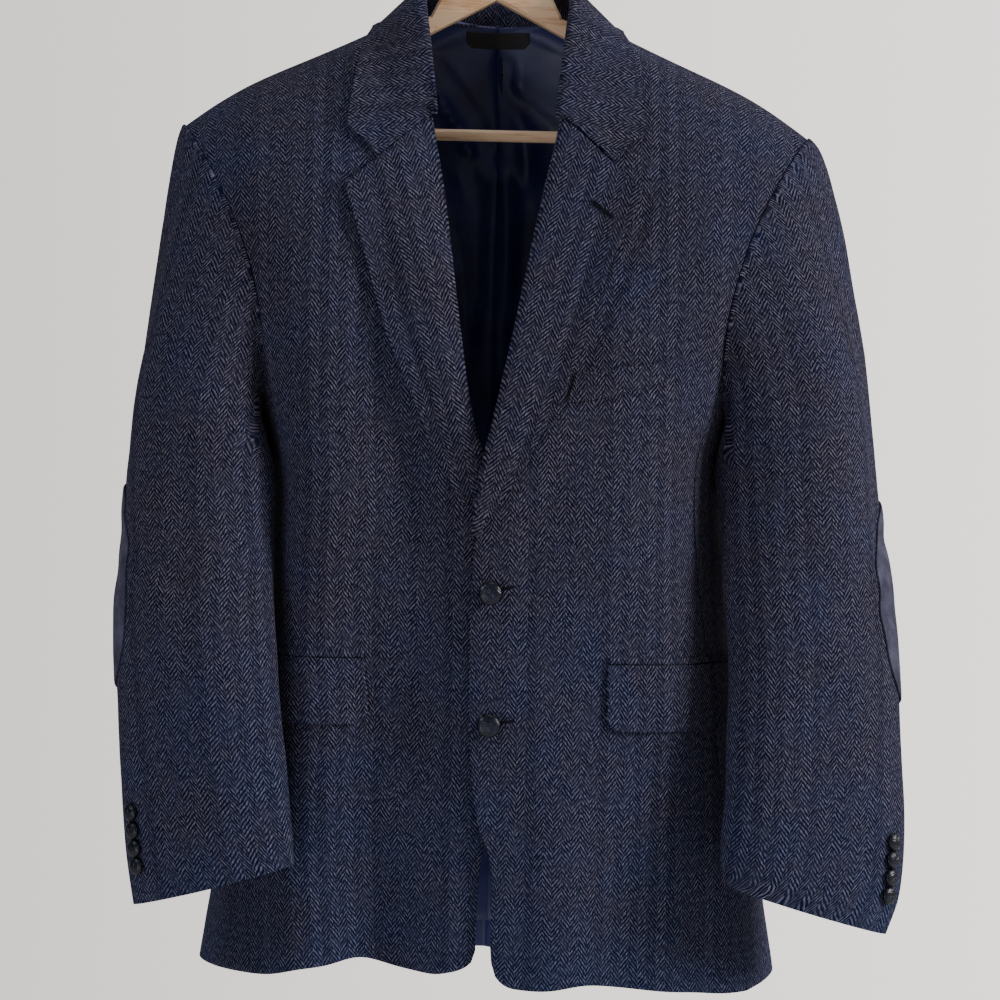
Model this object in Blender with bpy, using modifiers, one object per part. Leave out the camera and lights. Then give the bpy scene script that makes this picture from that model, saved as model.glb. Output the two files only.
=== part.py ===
"""A two-button hacking jacket in herringbone tweed, hung on a wooden hanger.

Every cut piece is a thin wall of its own. The frame is metres with +Z up: the wearer's
left is +X, the front faces -Y and the origin is where the hanger's hook bears on its rail.
"Own side" distances run outwards from the centre front or centre back on either side.
"""
import math
from collections import namedtuple

import bmesh
import bpy
from mathutils import Vector
from mathutils.bvhtree import BVHTree

# Walls and seams
CLOTH = 0.0020          # tweed with its canvas
SLEEVE_CLOTH = 0.0016
LINING = 0.0010
LAPEL = 0.0024          # facing and undercollar with interlining
SEAM_GAP = 0.0004       # each piece stops this far short of its seam
LEAN_GAP = 0.0009       # and this far where the walls lean together
CLEAR = 0.0006          # between a piece and the panel it lies on

# The hung shape
SWAY = 0.010            # the jacket drifts this far to +X for each metre down
HEM_Z = -0.868
LINING_HEM_Z = -0.846
NECK = Vector((0.068, 0.003, -0.119))       # where a shoulder seam meets the neck
NAPE = Vector((0.0, 0.058, -0.119))
SHOULDER_TIP = Vector((0.246, 0.0, -0.213))
UNDERARM = Vector((0.182, 0.0, -0.447))
ARMHOLE_DEPTH = 0.065   # half its width from front to back
SCYE_FRONT = 0.027      # how far the armhole curves in at the front, and at the back
SCYE_BACK = 0.008
FRONT_NOTCH = 130.0     # degrees round the armhole where the side body starts
BACK_NOTCH = 125.0
UNDER_DROP = 0.0100     # the panel buttoned underneath lies this far behind the other
CORNER = 0.018          # rounding of the front corners at the hem
SHOULDER_RISE = 0.0085  # how far the padded shoulder seam arches over a straight line

# Lapel and collar, own side
BREAK_Z = -0.530
GORGE = Vector((0.047, -0.059, -0.210))
LAPEL_TIP_Z = -0.265
NOTCH = 0.62            # how far along the gorge line the collar ends
NOTCH_DROP = 0.0295

# Pockets, buttons and patches
FLAP_LENGTH, FLAP_HEIGHT, FLAP_TOP_Z = 0.150, 0.050, -0.624
FLAP_START = {"left": 0.089, "right": 0.096}    # girth from the centre front
FLAP_CORNER, FLAP_CLOTH = 0.012, 0.0018
WELT_START, WELT_LENGTH, WELT_HEIGHT = 0.056, 0.081, 0.023
WELT_LOW_Z, WELT_RISE = -0.4275, 0.0225
BUTTON_Z = (-0.572, -0.671)
BUTTON_RADIUS, BUTTON_THICK = 0.0088, 0.0072
CUFF_BUTTON_RADIUS, CUFF_BUTTON_THICK, CUFF_BUTTON_STEP = 0.0066, 0.0056, 0.0136
CUFF_BUTTON_ANGLE, LAST_CUFF_BUTTON = 41.0, 0.029
PATCH_TOP, PATCH_LONG, PATCH_ANGLE, PATCH_HALF_ANGLE = 0.050, 0.157, -11.0, 60.0
PATCH_CLOTH = 0.0014

# Hanger
WOOD_THICK, WOOD_REACH, ARM_HEIGHT = 0.013, 0.236, 0.022
WOOD_BELOW = 0.0083     # from the shoulder seam down to the arm
WOOD_TOP_Z, WOOD_APEX_Z, WOOD_UNDER_SLOPE = -0.062, -0.108, 0.53
BAR_Z, BAR_RADIUS, BAR_HALF = -0.2145, 0.0047, 0.2125
HOOK_RADIUS, HOOK_WIRE = 0.022, 0.002
LABEL_WIDTH, LABEL_HEIGHT, LABEL_TOP_Z = 0.051, 0.0125, -0.1235
LABEL_CORNER, LABEL_CLOTH = 0.004, 0.0006

# What each table holds, from the hem up or from the first row down
Edge = namedtuple("Edge", "z over under y")
Seam = namedtuple("Seam", "z x y turn")
Belly = namedtuple("Belly", "z over under")
Tube = namedtuple("Tube", "down x_out x_in rise y depth turn")
Split = namedtuple("Split", "along front back")
Leaf = namedtuple("Leaf", "along seam fold edge")
Fold = namedtuple("Fold", "x lean top width depth")
Wave = namedtuple("Wave", "x width height")

# The front edge below the break, the roll line above it and then the neck, own side:
# "over" is the panel that buttons on top
FRONT_EDGE = (
    Edge(-0.868, 0.004, 0.008, -0.092),
    Edge(-0.850, 0.003, 0.008, -0.094),
    Edge(-0.802, 0.004, 0.006, -0.097),
    Edge(-0.776, 0.001, 0.003, -0.098),
    Edge(-0.750, -0.008, -0.005, -0.099),
    Edge(-0.690, -0.014, -0.012, -0.101),
    Edge(-0.600, -0.015, -0.015, -0.102),
    Edge(-0.530, -0.012, -0.013, -0.101),
    Edge(-0.490, -0.008, 0.001, -0.100),
    Edge(-0.442, 0.003, 0.017, -0.097),
    Edge(-0.373, 0.018, 0.028, -0.090),
    Edge(-0.273, 0.038, 0.041, -0.074),
    Edge(-0.210, 0.052, 0.052, -0.060),
    Edge(-0.165, 0.0595, 0.0595, -0.044),
    Edge(-0.135, 0.0655, 0.0655, -0.024),
    Edge(-0.119, 0.068, 0.068, 0.003),
)
FRONT_SEAM = (
    Seam(-0.868, 0.202, -0.044, 48),
    Seam(-0.800, 0.190, -0.047, 51),
    Seam(-0.650, 0.171, -0.055, 60),
    Seam(-0.560, 0.160, -0.060, 66),
    Seam(-0.480, 0.1575, -0.060, 70),
    Seam(-0.405, 0.177, -0.050, 62),
)
BACK_SEAM = (
    Seam(-0.868, 0.220, 0.046, 125),
    Seam(-0.800, 0.211, 0.050, 122),
    Seam(-0.650, 0.194, 0.055, 114),
    Seam(-0.560, 0.180, 0.055, 109),
    Seam(-0.480, 0.1735, 0.055, 107),
    Seam(-0.397, 0.191, 0.053, 113),
)
BACK_SPREAD = {"left": 0.0115, "right": 0.0}     # how far the waist spreads at the back's seam
CENTRE_BACK = (
    Seam(-0.868, 0.0, 0.080, 180),
    Seam(-0.650, 0.0, 0.084, 180),
    Seam(-0.480, 0.0, 0.090, 180),
    Seam(-0.350, 0.0, 0.091, 180),
    Seam(-0.250, 0.0, 0.086, 180),
    Seam(-0.180, 0.0, 0.076, 180),
    Seam(-0.119, 0.0, 0.058, 180),
)
LAPEL_EDGE = (
    Belly(-0.530, -0.009, -0.010),
    Belly(-0.513, 0.000, 0.014),
    Belly(-0.488, 0.0175, 0.032),
    Belly(-0.440, 0.043, 0.054),
    Belly(-0.376, 0.070, 0.081),
    Belly(-0.316, 0.0905, 0.100),
    Belly(-0.285, 0.105, 0.109),
    Belly(-0.265, 0.111, 0.115),
)
# Sleeves below the crown: outer and inner edges seen from the front, then the depth
SLEEVE = {
    "left": (
        Tube(0.000, 0.3015, 0.1828, -0.036, -0.020, 0.054, 20),
        Tube(0.055, 0.3055, 0.1877, -0.014, -0.032, 0.050, 19),
        Tube(0.128, 0.3155, 0.189, 0.000, -0.048, 0.044, 20),
        Tube(0.205, 0.3210, 0.189, 0.002, -0.064, 0.038, 20),
        Tube(0.281, 0.3240, 0.187, 0.006, -0.078, 0.032, 18),
        Tube(0.319, 0.3240, 0.184, 0.011, -0.083, 0.029, 17),
        Tube(0.353, 0.3205, 0.186, 0.021, -0.086, 0.027, 16),
        Tube(0.379, 0.3110, 0.191, 0.037, -0.088, 0.026, 15),
    ),
    "right": (
        Tube(0.000, 0.2765, 0.1675, -0.036, -0.034, 0.046, 30),
        Tube(0.055, 0.2805, 0.1645, -0.014, -0.040, 0.046, 24),
        Tube(0.135, 0.2795, 0.160, 0.000, -0.063, 0.041, 20),
        Tube(0.215, 0.2750, 0.152, 0.002, -0.083, 0.036, 20),
        Tube(0.291, 0.2685, 0.142, 0.008, -0.093, 0.031, 18),
        Tube(0.330, 0.2640, 0.139, 0.018, -0.096, 0.028, 17),
        Tube(0.368, 0.2575, 0.138, 0.036, -0.098, 0.026, 16),
    ),
}
SLEEVE_TOP_Z = -0.445
CROWN_PART = 0.32       # share of the sleeve's length that is crown
CROWN_ROLL = {"left": 0.048, "right": 0.020}     # how far the crown stands out
TWIST = 30.0            # degrees the underarm turns forwards between armhole and sleeve
# Where its two seams run, in degrees from the outer edge: forwards is positive
SLEEVE_SEAMS = (
    Split(0.0, 160.0, -92.0),
    Split(0.32, 176.0, -48.0),
    Split(0.65, 184.0, -6.0),
    Split(1.0, 186.0, 19.0),
)
COLLAR = (
    Leaf(0.0, Vector((0.0495, -0.0590, -0.2100)), GORGE, Vector((0.115, -0.061, -0.2200))),
    Leaf(0.2, Vector((0.0560, -0.0455, -0.1620)), Vector((0.0530, -0.049, -0.158)),
         Vector((0.1090, -0.041, -0.178))),
    Leaf(0.4, Vector((0.0645, -0.0160, -0.1240)), Vector((0.0580, -0.026, -0.1135)),
         Vector((0.0990, -0.006, -0.137))),
    Leaf(0.6, Vector((0.0635, 0.0200, -0.1183)), Vector((0.0560, 0.008, -0.1000)),
         Vector((0.0890, 0.034, -0.134))),
    Leaf(0.8, Vector((0.0380, 0.0470, -0.1183)), Vector((0.040, 0.046, -0.091)),
         Vector((0.060, 0.066, -0.134))),
    Leaf(1.0, Vector((0.0, 0.0570, -0.1183)), Vector((0.0, 0.058, -0.089)),
         Vector((0.0, 0.070, -0.137))),
)
# The largest folds: troughs (positive) and ridges that run up from the hem, own side
FOLDS = {
    "left": (
        Fold(0.098, 0.02, -0.560, 0.026, 0.008),
        Fold(0.160, 0.00, -0.420, 0.018, 0.006),
        Fold(0.050, -0.04, -0.600, 0.024, -0.005),
    ),
    "right": (
        Fold(0.082, 0.06, -0.400, 0.030, 0.024),
        Fold(0.150, 0.02, -0.520, 0.024, -0.006),
        Fold(0.034, 0.00, -0.560, 0.020, -0.005),
    ),
}
HEM_WAVES = {
    "left": (Wave(0.072, 0.020, 0.0025), Wave(0.200, 0.075, -0.0085), Wave(0.040, 0.030, -0.003)),
    "right": (Wave(0.098, 0.028, 0.0145), Wave(0.140, 0.022, 0.006), Wave(0.018, 0.020, 0.0085),
              Wave(0.055, 0.022, 0.0045)),
}

SIDES = {"left": 1.0, "right": -1.0}
LAYER = {"left": "over", "right": "under"}


# --- reading tables and bending rows -------------------------------------------------
def hermite(start, end, leaving, arriving, part):
    """A cubic from start to end with the given tangents."""
    square, cube = part * part, part ** 3
    return (start * (2 * cube - 3 * square + 1) + leaving * (cube - 2 * square + part)
            + end * (3 * square - 2 * cube) + arriving * (cube - square))


def read(rows, at):
    """A table's row at any place along its first column, on a smooth curve through the rows."""
    at = min(max(at, rows[0][0]), rows[-1][0])
    low = next(k for k in range(len(rows) - 1) if at <= rows[k + 1][0])
    span = rows[low + 1][0] - rows[low][0]

    def slope(k, column):
        before, after = rows[max(k - 1, 0)], rows[min(k + 1, len(rows) - 1)]
        return (after[column] - before[column]) * (span / (after[0] - before[0]))

    values = [
        hermite(rows[low][c], rows[low + 1][c], slope(low, c), slope(low + 1, c),
                (at - rows[low][0]) / span)
        for c in range(1, len(rows[low]))
    ]
    return type(rows[low])(at, *values)


def steps(count, low=0.0, high=1.0):
    """Even steps from low to high, both included."""
    return [low + (high - low) * k / count for k in range(count + 1)]


def closing(count, high=1.0):
    """Steps from 0 that grow closer together towards high."""
    return [high * (1.0 - (1.0 - part) ** 1.35) for part in steps(count)]


def crowded(count):
    """Steps from 0 to 1 that lie closer together at both ends."""
    return [part - 0.09 * math.sin(2 * math.pi * part) for part in steps(count)]


def heading(degrees):
    """A horizontal direction, turned from straight outwards towards the back."""
    return Vector((math.cos(math.radians(degrees)), math.sin(math.radians(degrees)), 0.0))


def bow(start, end, leave, arrive, part):
    """A row of cloth from start to end that leaves and arrives along two headings."""
    reach = (end - start).length
    fall = Vector((0.0, 0.0, end.z - start.z))
    return hermite(start, end, heading(leave) * reach + fall, heading(arrive) * reach + fall, part)


def placed(point, side):
    """An own-side point in the frame, with the drift of the hung jacket."""
    return Vector((SIDES[side] * point.x - SWAY * point.z, point.y, point.z))


# --- the torso -----------------------------------------------------------------------
def armhole(degrees, face):
    """A point of the armhole, from the shoulder tip at 0 to the underarm at 180."""
    middle, arm = (SHOULDER_TIP + UNDERARM) / 2, (SHOULDER_TIP - UNDERARM) / 2
    sine = math.sin(math.radians(degrees))
    curve_in = (SCYE_FRONT if face < 0 else SCYE_BACK) * sine * sine
    around = Vector((-curve_in, face * ARMHOLE_DEPTH * sine, 0.0))
    return middle + arm * math.cos(math.radians(degrees)) + around


def front_edge(z, side):
    """The front panel's inner edge at this height."""
    row = read(FRONT_EDGE, z)
    return Vector((getattr(row, LAYER[side]), row.y, z))


def drape(point, side):
    """Moves a front point back into the folds that run up from the hem."""
    moved = point.copy()
    for fold in FOLDS[side]:
        grown = max(0.0, (fold.top - point.z) / (fold.top - HEM_Z))
        off = (point.x - fold.x - fold.lean * (point.z - HEM_Z)) / fold.width
        moved.y += fold.depth * grown ** 0.8 * math.exp(-off * off)
    return moved


def hem_rise(x, side):
    """How far the hem lifts or dips at this own-side distance."""
    return sum(wave.height * math.exp(-((x - wave.x) / wave.width) ** 2) for wave in HEM_WAVES[side])


def shoulder_rise(across):
    """How far the padding lifts the shoulder seam, from the neck at 0 to the tip at 1."""
    return SHOULDER_RISE * math.sin(math.pi * across ** 2.2)


def front_point(side, across, up):
    """The front panel: across from its edge to the side seam, up from the hem to the shoulder.

    Up runs 0 to 1 below the armhole's notch and 1 to 2 above it.
    """
    notch = armhole(FRONT_NOTCH, -1)
    if up <= 1.0:
        z = HEM_Z + (notch.z - HEM_Z) * up
        start, seam = front_edge(z, side), read(FRONT_SEAM, z)
        end, arrive = Vector((seam.x, seam.y, z)), seam.turn
    else:
        part = up - 1.0
        z = NECK.z + (notch.z - NECK.z) * (1.0 - part) ** 1.5
        start = front_edge(z, side)
        degrees = FRONT_NOTCH * (1.0 - part)
        end, arrive = armhole(degrees, -1), 60.0 * (degrees / FRONT_NOTCH) ** 1.2
    point = bow(start, end, 0.0, arrive, across)
    if side == "right":
        point.y += UNDER_DROP * (1.0 - across) ** 3 * min(1.0, (2.0 - up) * 1.5)
    if up < 1.0:
        corner = max(0.0, 1.0 - (point.x - start.x) / CORNER)
        lift = hem_rise(point.x, side) + CORNER * (1.0 - math.sqrt(1.0 - corner * corner))
        point.z += lift * (1.0 - up) ** 4
    else:
        point.z += shoulder_rise(across) * (up - 1.0) ** 2
    return drape(point, side)


def back_seam(z, side):
    """The back panel's side seam, spread a little at the waist where the cloth hangs loose."""
    row = read(BACK_SEAM, z)
    reach = (z + 0.505) / (0.105 if z > -0.505 else 0.16)
    spread = math.cos(math.pi / 2 * min(abs(reach), 1.0)) ** 1.8
    return row._replace(x=row.x + BACK_SPREAD[side] * spread)


def side_point(side, across, up):
    """The side body, from the front panel's seam round to the back's, up to the armhole."""
    low, high = FRONT_NOTCH, 360.0 - BACK_NOTCH
    degrees = low + (high - low) * across
    top = armhole(degrees, -1) if degrees <= 180 else armhole(360.0 - degrees, 1)

    def section(z):
        front, back = read(FRONT_SEAM, z), back_seam(z, side)
        start, end = Vector((front.x, front.y, z)), Vector((back.x, back.y, z))
        return bow(start, end, front.turn, back.turn, across)

    z = HEM_Z + (top.z - HEM_Z) * up
    point = section(z) + (top - section(top.z)) * up ** 4
    point.z += hem_rise(read(FRONT_SEAM, z).x, side) * (1.0 - across) ** 2 * (1.0 - up) ** 4
    return drape(point, side) if across < 0.01 else point


def back_point(side, across, up):
    """The back panel: across from the centre seam, up from the hem to the shoulder seam."""
    notch = armhole(BACK_NOTCH, 1)
    if up <= 1.0:
        z = HEM_Z + (notch.z - HEM_Z) * up
        seam = back_seam(z, side)
        start, end = Vector((0.0, read(CENTRE_BACK, z).y, z)), Vector((seam.x, seam.y, z))
        arrive = seam.turn
    else:
        part = up - 1.0
        climb = min(part / 0.75, 1.0)
        round_neck = max(part - 0.75, 0.0) / 0.25 * math.pi / 2
        z = NAPE.z + (notch.z - NAPE.z) * (1.0 - climb) ** 1.3
        start = Vector((NECK.x * math.sin(round_neck), read(CENTRE_BACK, z).y, z))
        start.y -= (NAPE.y - NECK.y) * (1.0 - math.cos(round_neck))
        degrees = BACK_NOTCH * (1.0 - part)
        end, arrive = armhole(degrees, 1), 180.0 - 63.0 * (degrees / BACK_NOTCH) ** 1.2
    point = bow(start, end, 0.0, arrive - 180.0, across)
    point.z += shoulder_rise(across) * max(0.0, up - 1.0) ** 2
    return point


# --- the sleeves ---------------------------------------------------------------------
def tube_point(side, down, degrees):
    """A point round the sleeve below its crown, in the frame's own x."""
    row = read(SLEEVE[side], down)
    half = (row.x_out - row.x_in) / 2
    turn = math.radians(row.turn)
    wide = math.sqrt(half ** 2 - (row.depth * math.sin(turn)) ** 2) / math.cos(turn)
    across = wide * math.cos(math.radians(degrees))
    forward = row.depth * math.sin(math.radians(degrees))
    x = across * math.cos(turn) + forward * math.sin(turn)
    return Vector((
        SIDES[side] * (row.x_in + half + x),
        row.y + across * math.sin(turn) - forward * math.cos(turn),
        SLEEVE_TOP_Z - down + row.rise * (1.0 - x / half) / 2,
    ))


def sleeve_point(side, along, degrees):
    """A point of the sleeve, along from the armhole at 0 to the cuff at 1."""
    longest = SLEEVE[side][-1].down
    if along >= CROWN_PART:
        return tube_point(side, (along - CROWN_PART) / (1.0 - CROWN_PART) * longest, degrees)
    degrees %= 360.0
    turned = degrees - TWIST * math.sin(math.radians(degrees / 2)) ** 2
    turned = (turned + 180.0) % 360.0 - 180.0
    start = placed(armhole(abs(turned), -1 if turned > 0 else 1), side)
    end = tube_point(side, 0.0, degrees)
    crown = math.cos(math.radians(turned / 2)) ** 2
    start.x += SIDES[side] * 1.6 * SLEEVE_CLOTH * (1.0 - crown)
    down = Vector((0.0, 0.0, -1.0)) * (end - start).length
    leaving = Vector((SIDES[side], 0.0, -0.25)) * CROWN_ROLL[side] * (0.35 + crown)
    leaving += down * 0.35 * (1.0 - crown)
    slope = tube_point(side, 0.02, degrees) - end
    return hermite(start, end, leaving, slope.normalized() * down.length * 0.9, along / CROWN_PART)


def sleeve_seam(along, which):
    return getattr(read(SLEEVE_SEAMS, along), which)


# --- making meshes -------------------------------------------------------------------
def material(name, colour, roughness, metallic=0.0):
    made = bpy.data.materials.new(name)
    made.use_nodes = True
    shader = made.node_tree.nodes["Principled BSDF"]
    shader.inputs["Base Color"].default_value = (*colour, 1.0)
    shader.inputs["Roughness"].default_value = roughness
    shader.inputs["Metallic"].default_value = metallic
    return made


def grid(name, rows, outside):
    """An open sheet through rows of points, its faces towards outside."""
    form = bmesh.new()
    lines = [[form.verts.new(point) for point in row] for row in rows]
    for lower, upper in zip(lines, lines[1:]):
        for k in range(len(lower) - 1):
            form.faces.new((lower[k], lower[k + 1], upper[k + 1], upper[k]))
    form.normal_update()
    if sum(face.normal.dot(outside) for face in form.faces) < 0:
        bmesh.ops.reverse_faces(form, faces=form.faces)
    mesh = bpy.data.meshes.new(name)
    form.to_mesh(mesh)
    form.free()
    mesh.shade_smooth()
    return mesh


def trimmed(rows, start=SEAM_GAP, end=SEAM_GAP, top=SEAM_GAP):
    """The rows, pulled back from the seams round them by a gap."""
    def pulled(line, low, high):
        first, last = (line[1] - line[0]).normalized(), (line[-2] - line[-1]).normalized()
        return [line[0] + first * low] + line[1:-1] + [line[-1] + last * high]

    rows = [pulled(row, start, end) for row in rows]
    return [list(row) for row in zip(*(pulled(list(line), SEAM_GAP, top) for line in zip(*rows)))]


def shifted(mesh, distance):
    """Moves a sheet along its normals."""
    normals = [vertex.normal.copy() for vertex in mesh.vertices]
    for vertex, normal in zip(mesh.vertices, normals):
        vertex.co += normal * distance
    return mesh


def sheet(name, mesh, wall, finish, outwards=False):
    """A sheet given its thickness, inwards from its face unless it grows outwards."""
    mesh.materials.append(finish)
    piece = bpy.data.objects.new(name, mesh)
    PIECES.objects.link(piece)
    solid = piece.modifiers.new("Wall", "SOLIDIFY")
    solid.thickness = wall
    solid.offset = 1.0 if outwards else -1.0
    return piece


def surface(*meshes):
    """One tree over several sheets, to lay other pieces on."""
    form = bmesh.new()
    for mesh in meshes:
        form.from_mesh(mesh)
    tree = BVHTree.FromBMesh(form)
    form.free()
    return tree


def lifted(point, tree, lift):
    """The point, moved out until it clears a surface by lift."""
    where, normal, _, _ = tree.find_nearest(point)
    short = lift - (point - where).dot(normal)
    return point + normal * short if short > 0 else point


def on_front(x, z, tree, lift):
    """The point of the fronts at this x and z, lifted off them."""
    where, normal, _, _ = tree.ray_cast(Vector((x, -1.0, z)), Vector((0.0, 1.0, 0.0)))
    return where + normal * lift


# --- the pieces ----------------------------------------------------------------------
def panel_rows(point, side, across, up):
    return [[placed(point(side, a, u), side) for a in across] for u in up]


def make_torso(tweed):
    """Fronts, side bodies and backs. Returns each sheet by name, for what lies on it."""
    sheets = {}
    for side in SIDES:
        upper = [1.0 + part for part in (0.14, 0.28, 0.42, 0.55, 0.67, 0.77, 0.86, 0.93, 0.98, 1.0)]
        front = panel_rows(front_point, side, steps(14), steps(11) + upper)
        body = panel_rows(side_point, side, crowded(8), steps(10))
        upper = [1.0 + part for part in (0.15, 0.30, 0.45, 0.60, 0.68, 0.75, 0.84, 0.92, 1.0)]
        back = panel_rows(back_point, side, closing(9), steps(9) + upper)
        panels = (
            ("front", front, Vector((0.0, -1.0, 0.0))),
            ("side", body, Vector((SIDES[side], 0.0, 0.0))),
            ("back", back, Vector((0.0, 1.0, 0.0))),
        )
        for name, rows, outside in panels:
            sheets[f"{name}_{side}"] = grid(f"{name}_{side}", rows, outside)
            end = SEAM_GAP if name == "front" else LEAN_GAP
            mesh = grid(f"{name}_{side}", trimmed(rows, end=end, top=LEAN_GAP), outside)
            sheet(f"{name}_{side}", mesh, CLOTH, tweed)
    return sheets


def make_sleeves(tweed):
    along = steps(7, 0.0, CROWN_PART) + steps(12, CROWN_PART, 1.0)[1:]
    for side in SIDES:
        for name, start, end, count in (("top", "back", "front", 16), ("under", "front", "back", 10)):
            rows = []
            for at in along:
                first, last = sleeve_seam(at, start), sleeve_seam(at, end)
                last += 360.0 if last < first else 0.0
                rows.append([sleeve_point(side, at, d) for d in steps(count, first, last)])
            middle = rows[9][count // 2] - (rows[9][0] + rows[9][-1]) / 2
            mesh = grid(f"sleeve_{name}_{side}", trimmed(rows), middle)
            sheet(f"sleeve_{name}_{side}", mesh, SLEEVE_CLOTH, tweed, outwards=True)


def make_lapel(side, front, tweed):
    """The turned front facing, rolled over the front panel's edge and laid on the panel."""
    layer, sign = LAYER[side], SIDES[side]
    radius = CLOTH / 2 + 2 * CLEAR
    rows = []
    for part in steps(15):
        z_roll = BREAK_Z + (GORGE.z - SEAM_GAP * 2 - BREAK_Z) * part
        z_edge = BREAK_Z + (LAPEL_TIP_Z - BREAK_Z) * part
        edge = placed(front_edge(z_roll, side), side)
        inner = on_front(edge.x + sign * 0.0015, z_roll, front, 0.0)
        _, normal, _, _ = front.find_nearest(inner)
        out = Vector((getattr(read(LAPEL_EDGE, z_edge), layer), 0.0, z_edge))
        out.x = sign * out.x - SWAY * z_edge
        towards = Vector((out.x - inner.x, 0.0, out.z - inner.z))
        spread = max(towards.length, 0.004)
        towards = towards.normalized() if towards.length > 0.001 else Vector((sign, 0.0, 0.0))
        ahead = placed(front_edge(z_roll + 0.004, side), side) - edge
        tangent = normal.cross(ahead).normalized()
        tangent *= 1.0 if tangent.x * sign > 0 else -1.0
        core = inner - normal * CLOTH / 2
        row = [core + (normal * -math.cos(a) - tangent * math.sin(a)) * radius
               for a in (0.25 * math.pi, 0.5 * math.pi, 0.75 * math.pi)]
        soft = 0.0022 * min(1.0, part * 2.5)
        for along in (0.03, 0.10, 0.22, 0.36, 0.52, 0.68, 0.84, 1.0):
            at = inner + towards * spread * along
            lift = CLEAR + soft * math.sin(math.pi * min(along * 1.4, 1.0)) ** 0.7
            row.append(on_front(at.x, at.z, front, lift))
        rows.append(row)
    mesh = grid(f"lapel_{side}", rows, Vector((0, -1, 0)))
    sheet(f"lapel_{side}", mesh, LAPEL, tweed, outwards=True)


def collar_section(at):
    """The collar on one side: up its stand, over the fold and down its leaf."""
    leaf = read(COLLAR, at)
    stand = (leaf.fold - leaf.seam).length
    inwards = Vector((-leaf.fold.x, -leaf.fold.y, 0.0)).normalized() if at > 0.3 else Vector((-1, 0, 0))
    row = [leaf.seam]
    row += [leaf.seam + (leaf.fold - leaf.seam) * part + inwards * 0.001 for part in (0.35, 0.7)]
    row.append(leaf.fold + Vector((0.0, 0.0, min(stand, 0.003) * 0.6)))
    sag = NOTCH_DROP * max(0.0, 1.0 - at / 0.3) ** 2
    for part in (0.07, 0.2, 0.34, 0.48, 0.62, 0.81, 1.0):
        point = leaf.fold + (leaf.edge - leaf.fold) * part
        point -= inwards * min(stand, 0.012) * math.sin(math.pi * part) * 0.2
        point.z += min(stand, 0.006) * (1.0 - part) ** 2
        tent = part / NOTCH if part <= NOTCH else (1.0 - part) / (1.0 - NOTCH)
        point.z -= sag * tent
        row.append(point)
    return row


def make_collar(sheets, tweed):
    """Stand and leaf in one, from the wearer's right gorge round the neck to the left."""
    places = (0.012, 0.035, 0.07, 0.12, 0.18, 0.25, 0.33, 0.42, 0.52, 0.63, 0.75, 0.88, 1.0)
    rows = []
    for side in ("right", "left"):
        body = surface(sheets[f"front_{side}"], sheets[f"back_{side}"])
        half = []
        for at in places:
            row = [placed(point, side) for point in collar_section(at)]
            half.append(row[:4] + [lifted(point, body, 4 * CLEAR) for point in row[4:]])
        rows += half if side == "right" else half[-2::-1]
    mesh = grid("collar", rows, Vector((0, 0, 1)))
    sheet("collar", mesh, LAPEL, tweed, outwards=True)


def girth_point(side, z, distance):
    """The point at this distance round the body from the centre front, at one height."""
    up = (z - HEM_Z) / (armhole(FRONT_NOTCH, -1).z - HEM_Z)
    line = [front_point(side, a, up) for a in steps(30)]
    line = [Vector((p.x, p.y, z)) for p in line if p.x > 0.0]
    line += [Vector((p.x, p.y, z)) for p in (side_point(side, a, up) for a in steps(10)[1:])]
    walked = line[0].x
    for here, after in zip(line, line[1:]):
        step = (after - here).length
        if walked + step >= distance:
            return here + (after - here) * ((distance - walked) / step)
        walked += step
    return line[-1]


def make_flap(side, tree, tweed):
    """A pocket flap, over the front and the side body, its lower corners rounded."""
    rows = []
    for down in (1.0, 0.93, 0.8, 0.5, 0.0):
        reach = max(0.0, FLAP_CORNER - (1.0 - down) * FLAP_HEIGHT)
        inset = FLAP_CORNER - math.sqrt(FLAP_CORNER ** 2 - reach ** 2)
        z = FLAP_TOP_Z - FLAP_HEIGHT * down
        row = [placed(girth_point(side, z, d), side)
               for d in steps(12, FLAP_START[side] + inset, FLAP_START[side] + FLAP_LENGTH - inset)]
        rows.append([lifted(point, tree, CLEAR + 0.0015 * down) for point in row])
    mesh = grid(f"flap_{side}", rows, Vector((SIDES[side] * 0.4, -1, 0)))
    sheet(f"flap_{side}", mesh, FLAP_CLOTH, tweed, outwards=True)


def make_welt(tree, tweed):
    """The breast pocket's welt, on the wearer's left, its mouth a little open."""
    rows = []
    for up in steps(4):
        row = []
        for along in steps(8):
            x = WELT_START + WELT_LENGTH * along + 0.006 * up
            z = WELT_LOW_Z + WELT_RISE * along ** 1.6 + WELT_HEIGHT * up * (1.0 - 0.25 * along)
            gape = 0.0035 * up ** 2 * math.sin(math.pi * along)
            row.append(on_front(x - SWAY * z, z, tree, CLEAR + gape))
        rows.append(row)
    mesh = grid("breast_welt", rows, Vector((0, -1, 0)))
    sheet("breast_welt", mesh, FLAP_CLOTH, tweed, outwards=True)


def make_patches(suede):
    """Oval elbow patches round the back of each sleeve."""
    for side in SIDES:
        longest = SLEEVE[side][-1].down
        rows = []
        for up in steps(10, -1.0, 1.0):
            half = PATCH_HALF_ANGLE * max(0.16, (1.0 - abs(up) ** 2.6) ** (1 / 2.6))
            down = PATCH_TOP + PATCH_LONG * (1.0 + up) / 2
            along = CROWN_PART + (1.0 - CROWN_PART) * down / longest
            rows.append([sleeve_point(side, along, PATCH_ANGLE + half * d) for d in steps(11, -1.0, 1.0)])
        mesh = grid(f"elbow_patch_{side}", rows, Vector((SIDES[side], 0.3, 0)))
        shifted(mesh, SLEEVE_CLOTH + 5 * CLEAR)
        sheet(f"elbow_patch_{side}", mesh, PATCH_CLOTH, suede, outwards=True)


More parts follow.
